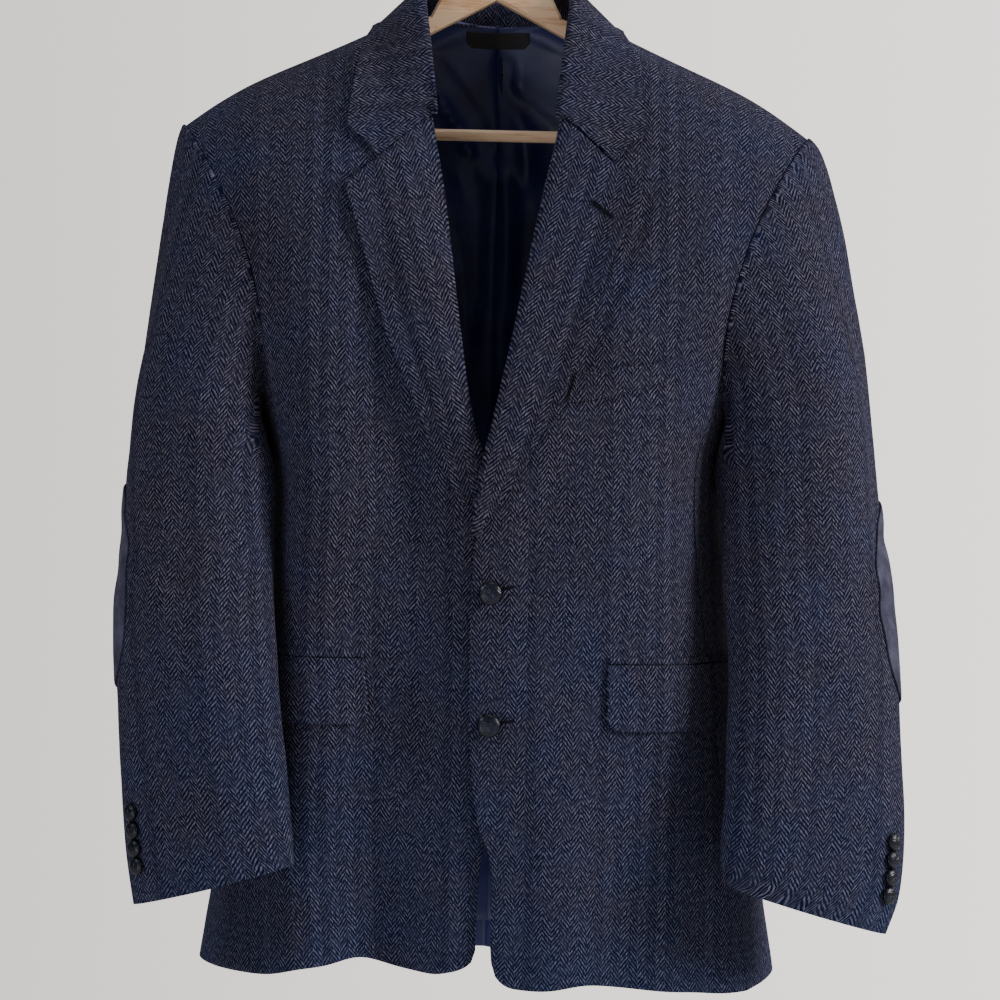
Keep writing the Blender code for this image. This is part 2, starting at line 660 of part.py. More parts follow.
def make_button(name, place, facing, radius, thick, leather):
    """A domed leather button, its flat back on the cloth."""
    bpy.ops.mesh.primitive_uv_sphere_add(segments=12, ring_count=5, radius=radius)
    button = bpy.context.object
    button.name = button.data.name = name
    for vertex in button.data.vertices:
        vertex.co.z = vertex.co.z / radius * thick / 2 + thick / 2
    button.rotation_euler = facing.to_track_quat("Z", "Y").to_euler()
    button.location = place
    button.data.materials.append(leather)
    button.data.shade_smooth()
    for home in list(button.users_collection):
        home.objects.unlink(button)
    PIECES.objects.link(button)


def make_buttons(fronts, leather):
    for number, z in enumerate(BUTTON_Z, 1):
        place = on_front(-SWAY * z, z, fronts, CLEAR)
        make_button(f"front_button_{number}", place, Vector((0, -1, 0)),
                    BUTTON_RADIUS, BUTTON_THICK, leather)
    for side in SIDES:
        longest = SLEEVE[side][-1].down
        for number in range(4):
            down = longest - LAST_CUFF_BUTTON - CUFF_BUTTON_STEP * number
            spot = tube_point(side, down, CUFF_BUTTON_ANGLE)
            ahead = tube_point(side, down, CUFF_BUTTON_ANGLE + 2)
            lower = tube_point(side, down + 0.002, CUFF_BUTTON_ANGLE)
            facing = (ahead - spot).cross(lower - spot).normalized() * SIDES[side]
            facing *= 1.0 if facing.x * SIDES[side] > 0 else -1.0
            place = spot + facing * SLEEVE_CLOTH
            make_button(f"cuff_button_{side}_{number + 1}", place, facing,
                        CUFF_BUTTON_RADIUS, CUFF_BUTTON_THICK, leather)


def make_lining(satin, label):
    """The back lining in two halves, neck to above the hem, and the plain neck label on it."""
    start = (LINING_HEM_Z - HEM_Z) / (armhole(BACK_NOTCH, 1).z - HEM_Z)
    upper = [1.0 + part for part in (0.15, 0.30, 0.45, 0.60, 0.68, 0.75, 0.84, 0.92, 0.97)]
    up = steps(8, start, 1.0) + upper
    halves = []
    for side in SIDES:
        rows = trimmed(panel_rows(back_point, side, closing(9, 0.98), up), start=2 * LEAN_GAP)
        mesh = shifted(grid(f"back_lining_{side}", rows, Vector((0, -1, 0))), CLOTH + 2 * CLEAR)
        sheet(f"back_lining_{side}", mesh, LINING, satin, outwards=True)
        halves.append(mesh)
    inside, rows = surface(*halves), []
    for down, inset in ((1.0, LABEL_CORNER), (0.68, 0.0), (0.0, 0.0)):
        half, z = LABEL_WIDTH / 2 - inset, LABEL_TOP_Z - LABEL_HEIGHT * down
        rows.append([on_front(x - SWAY * z, z, inside, LINING + CLEAR) for x in steps(7, -half, half)])
    mesh = grid("neck_label", rows, Vector((0, -1, 0)))
    sheet("neck_label", mesh, LABEL_CLOTH, label, outwards=True)


def make_hanger(wood, steel):
    """Two arms sawn from one board, a dowel let into them and a bent wire hook."""
    shoulder = [bow(NECK, SHOULDER_TIP, 0.0, 0.0, a) + Vector((0.0, 0.0, shoulder_rise(a)))
                for a in steps(10)]
    top = [Vector((p.x, p.z - WOOD_BELOW)) for p in shoulder if 0.07 < p.x < WOOD_REACH]
    crown = ((0.0, 0.0), (0.018, 0.003), (0.036, 0.028), (0.052, 0.060))
    outline = [Vector((x, WOOD_TOP_Z - fall)) for x, fall in crown] + top
    tip = top[-1]
    outline += [tip + Vector((0.006, -0.006)), tip + Vector((0.004, -0.016)),
                tip + Vector((-0.004, -ARM_HEIGHT))]
    outline += [Vector((p.x, p.y - ARM_HEIGHT)) for p in reversed(top[1:-1])]
    outline += [Vector((x, WOOD_APEX_Z - WOOD_UNDER_SLOPE * x)) for x in (0.055, 0.012, 0.0)]
    points = outline + [Vector((-p.x, p.y)) for p in reversed(outline[1:-1])]
    curve = bpy.data.curves.new("hanger_wood", "CURVE")
    curve.dimensions, curve.fill_mode = "2D", "BOTH"
    curve.extrude, curve.bevel_depth, curve.bevel_resolution = WOOD_THICK / 2 - 0.002, 0.002, 0
    curve.offset = -0.002
    line = curve.splines.new("POLY")
    line.points.add(len(points) - 1)
    for spot, point in zip(line.points, points):
        spot.co = (point.x, point.y, 0.0, 1.0)
    line.use_cyclic_u = True
    drawn = bpy.data.objects.new("hanger_outline", curve)
    drawn.rotation_euler = (math.pi / 2, 0.0, 0.0)
    PIECES.objects.link(drawn)
    board = as_mesh(drawn, "hanger_wood", wood)
    bore = cylinder("bar_bore", BAR_RADIUS + 0.0003, BAR_HALF + 0.0003, CUTTERS)
    bore.display_type, bore.hide_render = "WIRE", True
    cut = board.modifiers.new("Bar hole", "BOOLEAN")
    cut.operation, cut.object = "DIFFERENCE", bore
    bar = cylinder("hanger_bar", BAR_RADIUS, BAR_HALF, PIECES)
    bar.data.materials.append(wood)
    make_hook(steel)


def as_mesh(drawn, name, finish):
    """A curve object made into a mesh piece, its loose caps welded."""
    bpy.context.view_layer.update()
    graph = bpy.context.evaluated_depsgraph_get()
    mesh = bpy.data.meshes.new_from_object(drawn.evaluated_get(graph))
    form = bmesh.new()
    form.from_mesh(mesh)
    bmesh.ops.remove_doubles(form, verts=form.verts, dist=0.00002)
    form.to_mesh(mesh)
    form.free()
    mesh.name = name
    mesh.materials.clear()
    mesh.materials.append(finish)
    piece = bpy.data.objects.new(name, mesh)
    piece.matrix_world = drawn.matrix_world
    PIECES.objects.link(piece)
    bpy.data.objects.remove(drawn)
    return piece


def cylinder(name, radius, half, home):
    bpy.ops.mesh.primitive_cylinder_add(
        vertices=16, radius=radius, depth=2 * half,
        location=(0.0, 0.0, BAR_Z), rotation=(0.0, math.pi / 2, 0.0))
    made = bpy.context.object
    made.name = made.data.name = name
    for old in list(made.users_collection):
        old.objects.unlink(made)
    home.objects.link(made)
    return made


def make_hook(steel):
    """A wire question mark whose inside top is the origin."""
    centre = Vector((0.0, 0.0, -(HOOK_RADIUS - HOOK_WIRE)))
    points = [centre + Vector((math.cos(a), 0.0, math.sin(a))) * HOOK_RADIUS
              for a in (math.radians(d) for d in range(195, -46, -15))]
    points += [Vector((0.0035, 0.0, -0.0415)), Vector((0.0, 0.0, -0.048)), Vector((0.0, 0.0, WOOD_TOP_Z + 0.0003))]
    curve = bpy.data.curves.new("hanger_hook", "CURVE")
    curve.dimensions, curve.bevel_depth, curve.bevel_resolution = "3D", HOOK_WIRE, 2
    curve.use_fill_caps = True
    line = curve.splines.new("POLY")
    line.points.add(len(points) - 1)
    for spot, point in zip(line.points, points):
        spot.co = (*point, 1.0)
    drawn = bpy.data.objects.new("hook_wire", curve)
    PIECES.objects.link(drawn)
    as_mesh(drawn, "hanger_hook", steel)


def main():
    tweed = material("Herringbone tweed", (0.045, 0.050, 0.085), 0.92)
    satin = material("Lining satin", (0.010, 0.012, 0.030), 0.35)
    label = material("Woven label", (0.016, 0.016, 0.022), 0.6)
    suede = material("Elbow suede", (0.060, 0.064, 0.090), 0.95)
    leather = material("Button leather", (0.012, 0.014, 0.022), 0.38)
    wood = material("Beech", (0.62, 0.40, 0.26), 0.45)
    steel = material("Plated steel", (0.60, 0.60, 0.62), 0.25, 1.0)
    sheets = make_torso(tweed)
    make_sleeves(tweed)
    fronts = surface(sheets["front_left"], sheets["front_right"])
    for side in SIDES:
        panel = surface(sheets[f"front_{side}"])
        make_lapel(side, panel, tweed)
        make_flap(side, surface(sheets[f"front_{side}"], sheets[f"side_{side}"]), tweed)
    make_collar(sheets, tweed)
    make_welt(surface(sheets["front_left"]), tweed)
    make_patches(suede)
    make_buttons(fronts, leather)
    make_lining(satin, label)
    make_hanger(wood, steel)


for old in list(bpy.data.objects):
    bpy.data.objects.remove(old)
PIECES = bpy.data.collections.new("Hacking jacket")
CUTTERS = bpy.data.collections.new("Cutters")
for collection in (PIECES, CUTTERS):
    bpy.context.scene.collection.children.link(collection)

if __name__ == "__main__":
    main()
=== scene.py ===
"""The looks of a two-button hacking jacket in herringbone tweed, on its wooden hanger.

Each visible piece of cloth is a thin shell of its own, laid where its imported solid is. It adds
the drape, the seams, the stitching and the finish that the solid leaves out. The frame is
metres with +Z up: the wearer's left is +X, the front faces -Y and the origin is where the
hanger's hook bears on its rail. "Own side" distances run outwards from the centre front or
centre back on either side. The tables of the cut repeat the part's own.
"""
import math
from collections import namedtuple
from functools import lru_cache

import bmesh
import bpy
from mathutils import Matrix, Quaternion, Vector, noise
from mathutils.bvhtree import BVHTree


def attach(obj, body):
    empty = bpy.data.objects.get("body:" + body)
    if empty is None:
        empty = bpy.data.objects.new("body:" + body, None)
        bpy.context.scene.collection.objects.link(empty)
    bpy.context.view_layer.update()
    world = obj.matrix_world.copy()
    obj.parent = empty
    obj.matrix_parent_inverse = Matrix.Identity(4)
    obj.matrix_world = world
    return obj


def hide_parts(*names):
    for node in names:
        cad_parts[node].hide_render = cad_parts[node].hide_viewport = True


bl_info = {
    "name": "Herringbone hacking jacket",
    "version": (1, 0, 0),
    "blender": (4, 5, 0),
    "location": "3D View > Sidebar > Jacket",
    "description": "Dresses the packed hacking jacket: tweed, lining, buttons and hanger",
    "category": "Object",
}

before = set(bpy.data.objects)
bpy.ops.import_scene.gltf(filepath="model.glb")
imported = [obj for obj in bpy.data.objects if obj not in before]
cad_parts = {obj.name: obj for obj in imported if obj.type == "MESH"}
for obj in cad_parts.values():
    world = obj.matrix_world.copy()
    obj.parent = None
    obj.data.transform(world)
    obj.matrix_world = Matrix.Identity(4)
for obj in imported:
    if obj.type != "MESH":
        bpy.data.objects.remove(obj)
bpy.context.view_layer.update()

# Walls and seams
CLOTH, SLEEVE_CLOTH, LINING, LAPEL = 0.0020, 0.0016, 0.0010, 0.0024
CLEAR = 0.0006          # between a piece and the panel it lies on
SIDE_SINK, SCYE_SINK = 0.0002, 0.0004      # how deep the cloth dips along its seams
TUCK_NEAR, TUCK_FAR = (0.0006, 0.0013), (0.0042, 0.0028)      # seam allowance: out, and in
LINING_TUCK = -0.0010   # how much shallower the lining's allowance lies, clear of the back
LINING_SPACE, LINING_NEAR = 0.0050, -0.0024     # its room behind the back, and its nearest sag
LINING_REACH, LINING_TOP = 0.985, 1.97      # how far it runs over a back panel: across, and up
EDGE_ROUND = 0.0006     # rounding of a folded edge

# The hung shape
SWAY = 0.010
HEM_Z, LINING_HEM_Z = -0.868, -0.846
NECK = Vector((0.068, 0.003, -0.119))
NAPE = Vector((0.0, 0.058, -0.119))
SHOULDER_TIP = Vector((0.246, 0.0, -0.213))
UNDERARM = Vector((0.182, 0.0, -0.447))
SHOULDER_RISE = 0.0085
ARMHOLE_DEPTH, SCYE_FRONT, SCYE_BACK = 0.065, 0.027, 0.008
FRONT_NOTCH, BACK_NOTCH = 130.0, 125.0
UNDER_DROP, CORNER = 0.0100, 0.018
WAIST_Z, WAIST_ABOVE, WAIST_BELOW = -0.505, 0.105, 0.16     # where the back's waist spreads
SHOULDER_ROWS = 30      # rows under the shoulder seam in which a back's grain turns upright
BODY_WIDE, BODY_DEEP = 0.20, 0.10      # half the trunk, for the way that folds press in
CHEST = Vector((0.0, 0.02, -0.30))      # the place that the collar faces away from

# Lapel and collar, own side
BREAK_Z, LAPEL_TIP_Z = -0.530, -0.265
GORGE = Vector((0.047, -0.059, -0.210))
NOTCH, NOTCH_DROP = 0.62, {"left": 0.0325, "right": 0.0303}
LAPEL_LEAN = 13.0       # degrees that the lapel's columns lean from upright
LAPEL_SWELL, LAPEL_SPRING = 0.0026, 0.0030      # how far its middle and its edge stand off
FOLD_COLUMN = 14        # the collar's column of points that runs along its fold
COLLAR_START = 0.012    # where the collar's cloth starts along its table

# Pockets, buttons and patches
FLAP_LENGTH, FLAP_HEIGHT, FLAP_TOP_Z = 0.150, 0.050, -0.624
FLAP_START = {"left": 0.089, "right": 0.096}
FLAP_CORNER, FLAP_CLOTH, JET_HEIGHT = 0.012, 0.0018, 0.0045
WELT_START, WELT_LENGTH, WELT_HEIGHT = 0.056, 0.081, 0.023
WELT_LOW_Z, WELT_RISE = -0.4275, 0.0225
BUTTON_Z = (-0.572, -0.671)
BUTTON_RADIUS, BUTTON_THICK = 0.0088, 0.0072
CUFF_BUTTON_RADIUS, CUFF_BUTTON_THICK, CUFF_BUTTON_STEP = 0.0066, 0.0056, 0.0136
CUFF_BUTTON_ANGLE, LAST_CUFF_BUTTON = 41.0, 0.029
PATCH_TOP, PATCH_LONG, PATCH_ANGLE, PATCH_HALF_ANGLE = 0.050, 0.157, -11.0, 60.0
PATCH_CLOTH, PATCH_SHAPE = 0.0014, 2.6     # its wall, and how square its oval is
STITCH_PITCH, STITCH_LENGTH, STITCH_THICK = 0.0052, 0.0030, 0.00035
BUTTONHOLE_THICK = 0.00055

# Hanger and neck label
HOOK_RADIUS, HOOK_WIRE, WOOD_TOP_Z = 0.022, 0.002, -0.062
LABEL_WIDTH, LABEL_HEIGHT, LABEL_TOP_Z = 0.051, 0.0125, -0.1235
LABEL_CORNER, LABEL_CLOTH = 0.004, 0.0006

# Stage
CAMERA_X, CAMERA_Z, CAMERA_ROLL = 0.01139, -0.50187, 1.3
LIGHT_AIM = Vector((0.0, 0.0, -0.48))

Edge = namedtuple("Edge", "z over under y")
Seam = namedtuple("Seam", "z x y turn")
Belly = namedtuple("Belly", "z over under")
Tube = namedtuple("Tube", "down x_out x_in rise y depth turn")
Split = namedtuple("Split", "along front back")
Leaf = namedtuple("Leaf", "along seam fold edge")
Fold = namedtuple("Fold", "x lean top width depth")
Wave = namedtuple("Wave", "x width height")
Crease = namedtuple("Crease", "x z to_x to_z bend width depth")

FRONT_EDGE = (
    Edge(-0.868, 0.004, 0.008, -0.092),
    Edge(-0.850, 0.003, 0.008, -0.094),
    Edge(-0.802, 0.004, 0.006, -0.097),
    Edge(-0.776, 0.001, 0.003, -0.098),
    Edge(-0.750, -0.008, -0.005, -0.099),
    Edge(-0.690, -0.014, -0.012, -0.101),
    Edge(-0.600, -0.015, -0.015, -0.102),
    Edge(-0.530, -0.012, -0.013, -0.101),
    Edge(-0.490, -0.008, 0.001, -0.100),
    Edge(-0.442, 0.003, 0.017, -0.097),
    Edge(-0.373, 0.018, 0.028, -0.090),
    Edge(-0.273, 0.038, 0.041, -0.074),
    Edge(-0.210, 0.052, 0.052, -0.060),
    Edge(-0.165, 0.0595, 0.0595, -0.044),
    Edge(-0.135, 0.0655, 0.0655, -0.024),
    Edge(-0.119, 0.068, 0.068, 0.003),
)
FRONT_SEAM = (
    Seam(-0.868, 0.202, -0.044, 48),
    Seam(-0.800, 0.190, -0.047, 51),
    Seam(-0.650, 0.171, -0.055, 60),
    Seam(-0.560, 0.160, -0.060, 66),
    Seam(-0.480, 0.1575, -0.060, 70),
    Seam(-0.405, 0.177, -0.050, 62),
)
BACK_SEAM = (
    Seam(-0.868, 0.220, 0.046, 125),
    Seam(-0.800, 0.211, 0.050, 122),
    Seam(-0.650, 0.194, 0.055, 114),
    Seam(-0.560, 0.180, 0.055, 109),
    Seam(-0.480, 0.1735, 0.055, 107),
    Seam(-0.397, 0.191, 0.053, 113),
)
BACK_SPREAD = {"left": 0.0115, "right": 0.0}     # how far the waist spreads at the back's seam
CENTRE_BACK = (
    Seam(-0.868, 0.0, 0.080, 180),
    Seam(-0.650, 0.0, 0.084, 180),
    Seam(-0.480, 0.0, 0.090, 180),
    Seam(-0.350, 0.0, 0.091, 180),
    Seam(-0.250, 0.0, 0.086, 180),
    Seam(-0.180, 0.0, 0.076, 180),
    Seam(-0.119, 0.0, 0.058, 180),
)
LAPEL_EDGE = (
    Belly(-0.530, -0.009, -0.010),
    Belly(-0.513, 0.000, 0.014),
    Belly(-0.488, 0.0175, 0.032),
    Belly(-0.440, 0.043, 0.054),
    Belly(-0.376, 0.070, 0.081),
    Belly(-0.316, 0.0905, 0.100),
    Belly(-0.285, 0.105, 0.109),
    Belly(-0.265, 0.111, 0.115),
)
SLEEVE = {
    "left": (
        Tube(0.000, 0.3015, 0.1828, -0.036, -0.020, 0.054, 20),
        Tube(0.055, 0.3055, 0.1877, -0.014, -0.032, 0.050, 19),
        Tube(0.128, 0.3155, 0.189, 0.000, -0.048, 0.044, 20),
        Tube(0.205, 0.3210, 0.189, 0.002, -0.064, 0.038, 20),
        Tube(0.281, 0.3240, 0.187, 0.006, -0.078, 0.032, 18),
        Tube(0.319, 0.3240, 0.184, 0.011, -0.083, 0.029, 17),
        Tube(0.353, 0.3205, 0.186, 0.021, -0.086, 0.027, 16),
        Tube(0.379, 0.3110, 0.191, 0.037, -0.088, 0.026, 15),
    ),
    "right": (
        Tube(0.000, 0.2765, 0.1675, -0.036, -0.034, 0.046, 30),
        Tube(0.055, 0.2805, 0.1645, -0.014, -0.040, 0.046, 24),
        Tube(0.135, 0.2795, 0.160, 0.000, -0.063, 0.041, 20),
        Tube(0.215, 0.2750, 0.152, 0.002, -0.083, 0.036, 20),
        Tube(0.291, 0.2685, 0.142, 0.008, -0.093, 0.031, 18),
        Tube(0.330, 0.2640, 0.139, 0.018, -0.096, 0.028, 17),
        Tube(0.368, 0.2575, 0.138, 0.036, -0.098, 0.026, 16),
    ),
}
SLEEVE_TOP_Z, CROWN_PART, TWIST = -0.445, 0.32, 30.0
CROWN_ROLL = {"left": 0.048, "right": 0.020}
SLEEVE_RADIUS, SLEEVE_LONG = 0.058, 0.60       # rounded, to place the sleeve's creases

# The upper sleeve's grain is measured on level cuts, from a line down its outside to strands
# on either side of it. It goes over to the cloth's own run below the armpit
OUTER_LINE, STRAND_STEP = 20.0, 4.0     # degrees
STRANDS_BACK, STRANDS_FRONT = 31, 35
CUT_STEP, CUTS = 0.004, 74
CUTS_END_Z, CUTS_FADE = SLEEVE_TOP_Z - 0.006, 0.020

SLEEVE_SEAMS = (
    Split(0.0, 160.0, -92.0),
    Split(0.32, 176.0, -48.0),
    Split(0.65, 184.0, -6.0),
    Split(1.0, 186.0, 19.0),
)
COLLAR = (
    Leaf(0.0, Vector((0.0495, -0.0590, -0.2100)), GORGE, Vector((0.115, -0.061, -0.2200))),
    Leaf(0.2, Vector((0.0560, -0.0455, -0.1620)), Vector((0.0530, -0.049, -0.158)),
         Vector((0.1090, -0.041, -0.178))),
    Leaf(0.4, Vector((0.0645, -0.0160, -0.1240)), Vector((0.0580, -0.026, -0.1135)),
         Vector((0.0990, -0.006, -0.137))),
    Leaf(0.6, Vector((0.0635, 0.0200, -0.1183)), Vector((0.0560, 0.008, -0.1000)),
         Vector((0.0890, 0.034, -0.134))),
    Leaf(0.8, Vector((0.0380, 0.0470, -0.1183)), Vector((0.040, 0.046, -0.091)),
         Vector((0.060, 0.066, -0.134))),
    Leaf(1.0, Vector((0.0, 0.0570, -0.1183)), Vector((0.0, 0.058, -0.089)),
         Vector((0.0, 0.070, -0.137))),
)
FOLDS = {
    "left": (
        Fold(0.098, 0.02, -0.560, 0.026, 0.008),
        Fold(0.160, 0.00, -0.420, 0.018, 0.006),
        Fold(0.050, -0.04, -0.600, 0.024, -0.005),
    ),
    "right": (
        Fold(0.082, 0.06, -0.400, 0.030, 0.024),
        Fold(0.150, 0.02, -0.520, 0.024, -0.006),
        Fold(0.034, 0.00, -0.560, 0.020, -0.005),
    ),
}
HEM_WAVES = {
    "left": (Wave(0.072, 0.020, 0.0025), Wave(0.200, 0.075, -0.0085), Wave(0.040, 0.030, -0.003)),
    "right": (Wave(0.098, 0.028, 0.0145), Wave(0.140, 0.022, 0.006), Wave(0.018, 0.020, 0.0085),
              Wave(0.055, 0.022, 0.0045)),
}

# Listed creases: from one own-side place to another, positive where the cloth sinks
FRONT_CREASES = {
    "left": (
        Crease(0.1205, -0.262, 0.0600, -0.420, 0.003, 0.0050, 0.0024),
        Crease(0.070, -0.452, 0.165, -0.462, 0.004, 0.016, 0.0022),
        Crease(0.158, -0.380, 0.150, -0.560, -0.004, 0.016, 0.0034),
        Crease(0.150, -0.300, 0.128, -0.400, 0.006, 0.018, 0.0018),
        Crease(0.032, -0.560, 0.060, -0.470, 0.005, 0.014, 0.0016),
        Crease(0.026, -0.610, 0.080, -0.640, -0.004, 0.018, 0.0014),
        Crease(0.130, -0.700, 0.118, -0.840, 0.003, 0.020, 0.0024),
        Crease(0.062, -0.730, 0.070, -0.860, -0.004, 0.020, -0.0020),
    ),
    "right": (
        Crease(0.100, -0.320, 0.060, -0.520, 0.004, 0.025, 0.0080),
        Crease(0.062, -0.470, 0.054, -0.680, 0.003, 0.030, 0.0110),
        Crease(0.054, -0.660, 0.050, -0.870, -0.003, 0.028, 0.0080),
        Crease(0.150, -0.380, 0.126, -0.600, -0.005, 0.020, -0.0020),
        Crease(0.138, -0.270, 0.126, -0.380, 0.004, 0.018, 0.0018),
        Crease(0.020, -0.600, 0.060, -0.560, 0.004, 0.014, 0.0014),
        Crease(0.128, -0.700, 0.120, -0.850, 0.003, 0.018, 0.0020),
    ),
}
BACK_CREASES = {
    "left": (
        Crease(0.120, -0.300, 0.105, -0.620, 0.006, 0.022, 0.0035),
        Crease(0.060, -0.250, 0.070, -0.500, -0.006, 0.026, -0.0020),
        Crease(0.085, -0.560, 0.098, -0.860, 0.004, 0.024, 0.0042),
        Crease(0.150, -0.480, 0.140, -0.840, -0.005, 0.022, -0.0030),
        Crease(0.040, -0.640, 0.030, -0.866, 0.003, 0.020, 0.0024),
        Crease(0.030, -0.172, 0.110, -0.205, 0.004, 0.014, 0.0016),
        Crease(0.185, -0.430, 0.185, -0.570, 0.000, 0.030, -0.0030),
    ),
    "right": (
        Crease(0.130, -0.320, 0.118, -0.580, -0.006, 0.022, 0.0032),
        Crease(0.070, -0.230, 0.055, -0.520, 0.006, 0.026, -0.0022),
        Crease(0.070, -0.540, 0.080, -0.860, -0.004, 0.026, 0.0046),
        Crease(0.128, -0.600, 0.142, -0.860, 0.004, 0.022, -0.0030),
        Crease(0.026, -0.600, 0.034, -0.866, 0.003, 0.018, 0.0020),
        Crease(0.040, -0.178, 0.120, -0.214, -0.004, 0.014, 0.0014),
    ),
}
# On the sleeves x is the way round from the outer edge and z the way down, both in metres
SLEEVE_CREASES = {
    "left": (
        Crease(0.046, 0.06, 0.040, 0.34, 0.004, 0.015, 0.0026),
        Crease(0.082, 0.10, 0.088, 0.30, -0.004, 0.014, -0.0016),
        Crease(0.018, 0.28, 0.096, 0.315, 0.006, 0.012, 0.0020),
        Crease(0.030, 0.335, 0.085, 0.352, -0.005, 0.011, 0.0016),
        Crease(0.100, 0.40, 0.094, 0.56, 0.003, 0.014, 0.0020),
        Crease(-0.040, 0.20, -0.060, 0.40, 0.004, 0.018, 0.0028),
        Crease(0.182, 0.10, 0.182, 0.32, 0.000, 0.034, -0.0046),
        Crease(-0.182, 0.10, -0.182, 0.32, 0.000, 0.034, -0.0046),
    ),
    "right": (
        Crease(0.030, 0.05, 0.024, 0.32, -0.004, 0.014, 0.0030),
        Crease(0.070, 0.12, 0.078, 0.34, 0.004, 0.016, -0.0016),
        Crease(0.020, 0.29, 0.092, 0.325, -0.006, 0.012, 0.0022),
        Crease(0.110, 0.20, 0.100, 0.42, 0.004, 0.014, 0.0018),
        Crease(0.060, 0.42, 0.066, 0.56, -0.003, 0.016, 0.0018),
        Crease(-0.044, 0.18, -0.052, 0.42, -0.004, 0.018, 0.0028),
        Crease(0.182, 0.10, 0.182, 0.23, 0.000, 0.032, -0.0042),
        Crease(-0.182, 0.10, -0.182, 0.23, 0.000, 0.032, -0.0042),
    ),
}
# On the back lining x is measured from the centre back of the frame
LINING_CREASES = (
    Crease(-0.052, -0.155, -0.004, -0.225, 0.004, 0.0080, -0.0058),
    Crease(-0.046, -0.175, -0.012, -0.232, 0.003, 0.0060, 0.0040),
    Crease(0.006, -0.150, 0.044, -0.200, -0.006, 0.0070, -0.0050),
    Crease(0.016, -0.165, 0.030, -0.260, 0.004, 0.0070, 0.0036),
    Crease(-0.040, -0.245, -0.018, -0.330, 0.006, 0.0070, -0.0048),
    Crease(-0.016, -0.225, -0.020, -0.380, 0.003, 0.0060, -0.0036),
    Crease(0.010, -0.240, 0.018, -0.420, 0.004, 0.0080, 0.0036),
    Crease(0.030, -0.250, 0.020, -0.400, -0.004, 0.0070, -0.0040),
)

SIDES = {"left": 1.0, "right": -1.0}
LAYER = {"left": "over", "right": "under"}


# --- reading tables and bending rows -------------------------------------------------
def hermite(start, end, leaving, arriving, part):
    """A cubic from start to end with the given tangents."""
    square, cube = part * part, part ** 3
    return (start * (2 * cube - 3 * square + 1) + leaving * (cube - 2 * square + part)
            + end * (3 * square - 2 * cube) + arriving * (cube - square))


def read(rows, at):
    """A table's row at any place along its first column, on a smooth curve through the rows."""
    at = min(max(at, rows[0][0]), rows[-1][0])
    low = next(k for k in range(len(rows) - 1) if at <= rows[k + 1][0])
    span = rows[low + 1][0] - rows[low][0]

    def slope(k, column):
        before, after = rows[max(k - 1, 0)], rows[min(k + 1, len(rows) - 1)]
        return (after[column] - before[column]) * (span / (after[0] - before[0]))

    values = [
        hermite(rows[low][c], rows[low + 1][c], slope(low, c), slope(low + 1, c),
                (at - rows[low][0]) / span)
        for c in range(1, len(rows[low]))
    ]
    return type(rows[low])(at, *values)


def steps(count, low=0.0, high=1.0):
    """Even steps from low to high, both included."""
    return [low + (high - low) * k / count for k in range(count + 1)]


def seamed(count, low=0.0, high=1.0, first=True, last=True):
    """Even steps with closer ones beside a seam, where the cloth dips."""
    values, step = steps(count, low, high), (high - low) / count
    near = [low + step * part for part in (0.2, 0.45)] if first else []
    far = [high - step * part for part in (0.45, 0.2)] if last else []
    return [values[0]] + near + values[1:-1] + far + [values[-1]]


def heading(degrees):
    """A horizontal direction, turned from straight outwards towards the back."""
    return Vector((math.cos(math.radians(degrees)), math.sin(math.radians(degrees)), 0.0))


def bow(start, end, leave, arrive, part):
    """A row of cloth from start to end that leaves and arrives along two headings."""
    reach = (end - start).length
    fall = Vector((0.0, 0.0, end.z - start.z))
    return hermite(start, end, heading(leave) * reach + fall, heading(arrive) * reach + fall, part)


def placed(point, side):
    """An own-side point in the frame, with the drift of the hung jacket."""
    return Vector((SIDES[side] * point.x - SWAY * point.z, point.y, point.z))


def pressed(creases, x, z):
    """How far the creases press the cloth in at one place, in metres."""
    total = 0.0
    for crease in creases:
        run_x, run_z = crease.to_x - crease.x, crease.to_z - crease.z
        length = math.hypot(run_x, run_z)
        part = ((x - crease.x) * run_x + (z - crease.z) * run_z) / length ** 2
        part = min(max(part, 0.0), 1.0)
        arch = crease.bend * 4.0 * part * (1.0 - part)
        near_x = crease.x + run_x * part - run_z / length * arch
        near_z = crease.z + run_z * part + run_x / length * arch
        off = math.hypot(x - near_x, z - near_z) / crease.width
        total += crease.depth * math.exp(-off * off)
    return total


def handled(point):
    """The small unevenness of worn cloth at a point, in metres."""
    broad = noise.noise(point * 16.0 + Vector((3.1, 7.7, 1.3)))
    small = noise.noise(point * 52.0 + Vector((9.2, 2.4, 5.8)))
    return 0.0011 * broad + 0.00028 * small


def seam_profile(distance, sink):
    """Rise of the cloth beside a seam: a narrow dip, then the ridge of its turnings."""
    return sink * (0.5 * math.exp(-((distance - 0.0060) / 0.0034) ** 2)
                   - math.exp(-(distance / 0.0012) ** 2))


# --- the forms -----------------------------------------------------------------------
def armhole(degrees, face):
    """A point of the armhole, from the shoulder tip at 0 to the underarm at 180."""
    middle, arm = (SHOULDER_TIP + UNDERARM) / 2, (SHOULDER_TIP - UNDERARM) / 2
    sine = math.sin(math.radians(degrees))
    curve_in = (SCYE_FRONT if face < 0 else SCYE_BACK) * sine * sine
    around = Vector((-curve_in, face * ARMHOLE_DEPTH * sine, 0.0))
    return middle + arm * math.cos(math.radians(degrees)) + around


def front_edge(z, side):
    """The front panel's inner edge at this height."""
    row = read(FRONT_EDGE, z)
    return Vector((getattr(row, LAYER[side]), row.y, z))


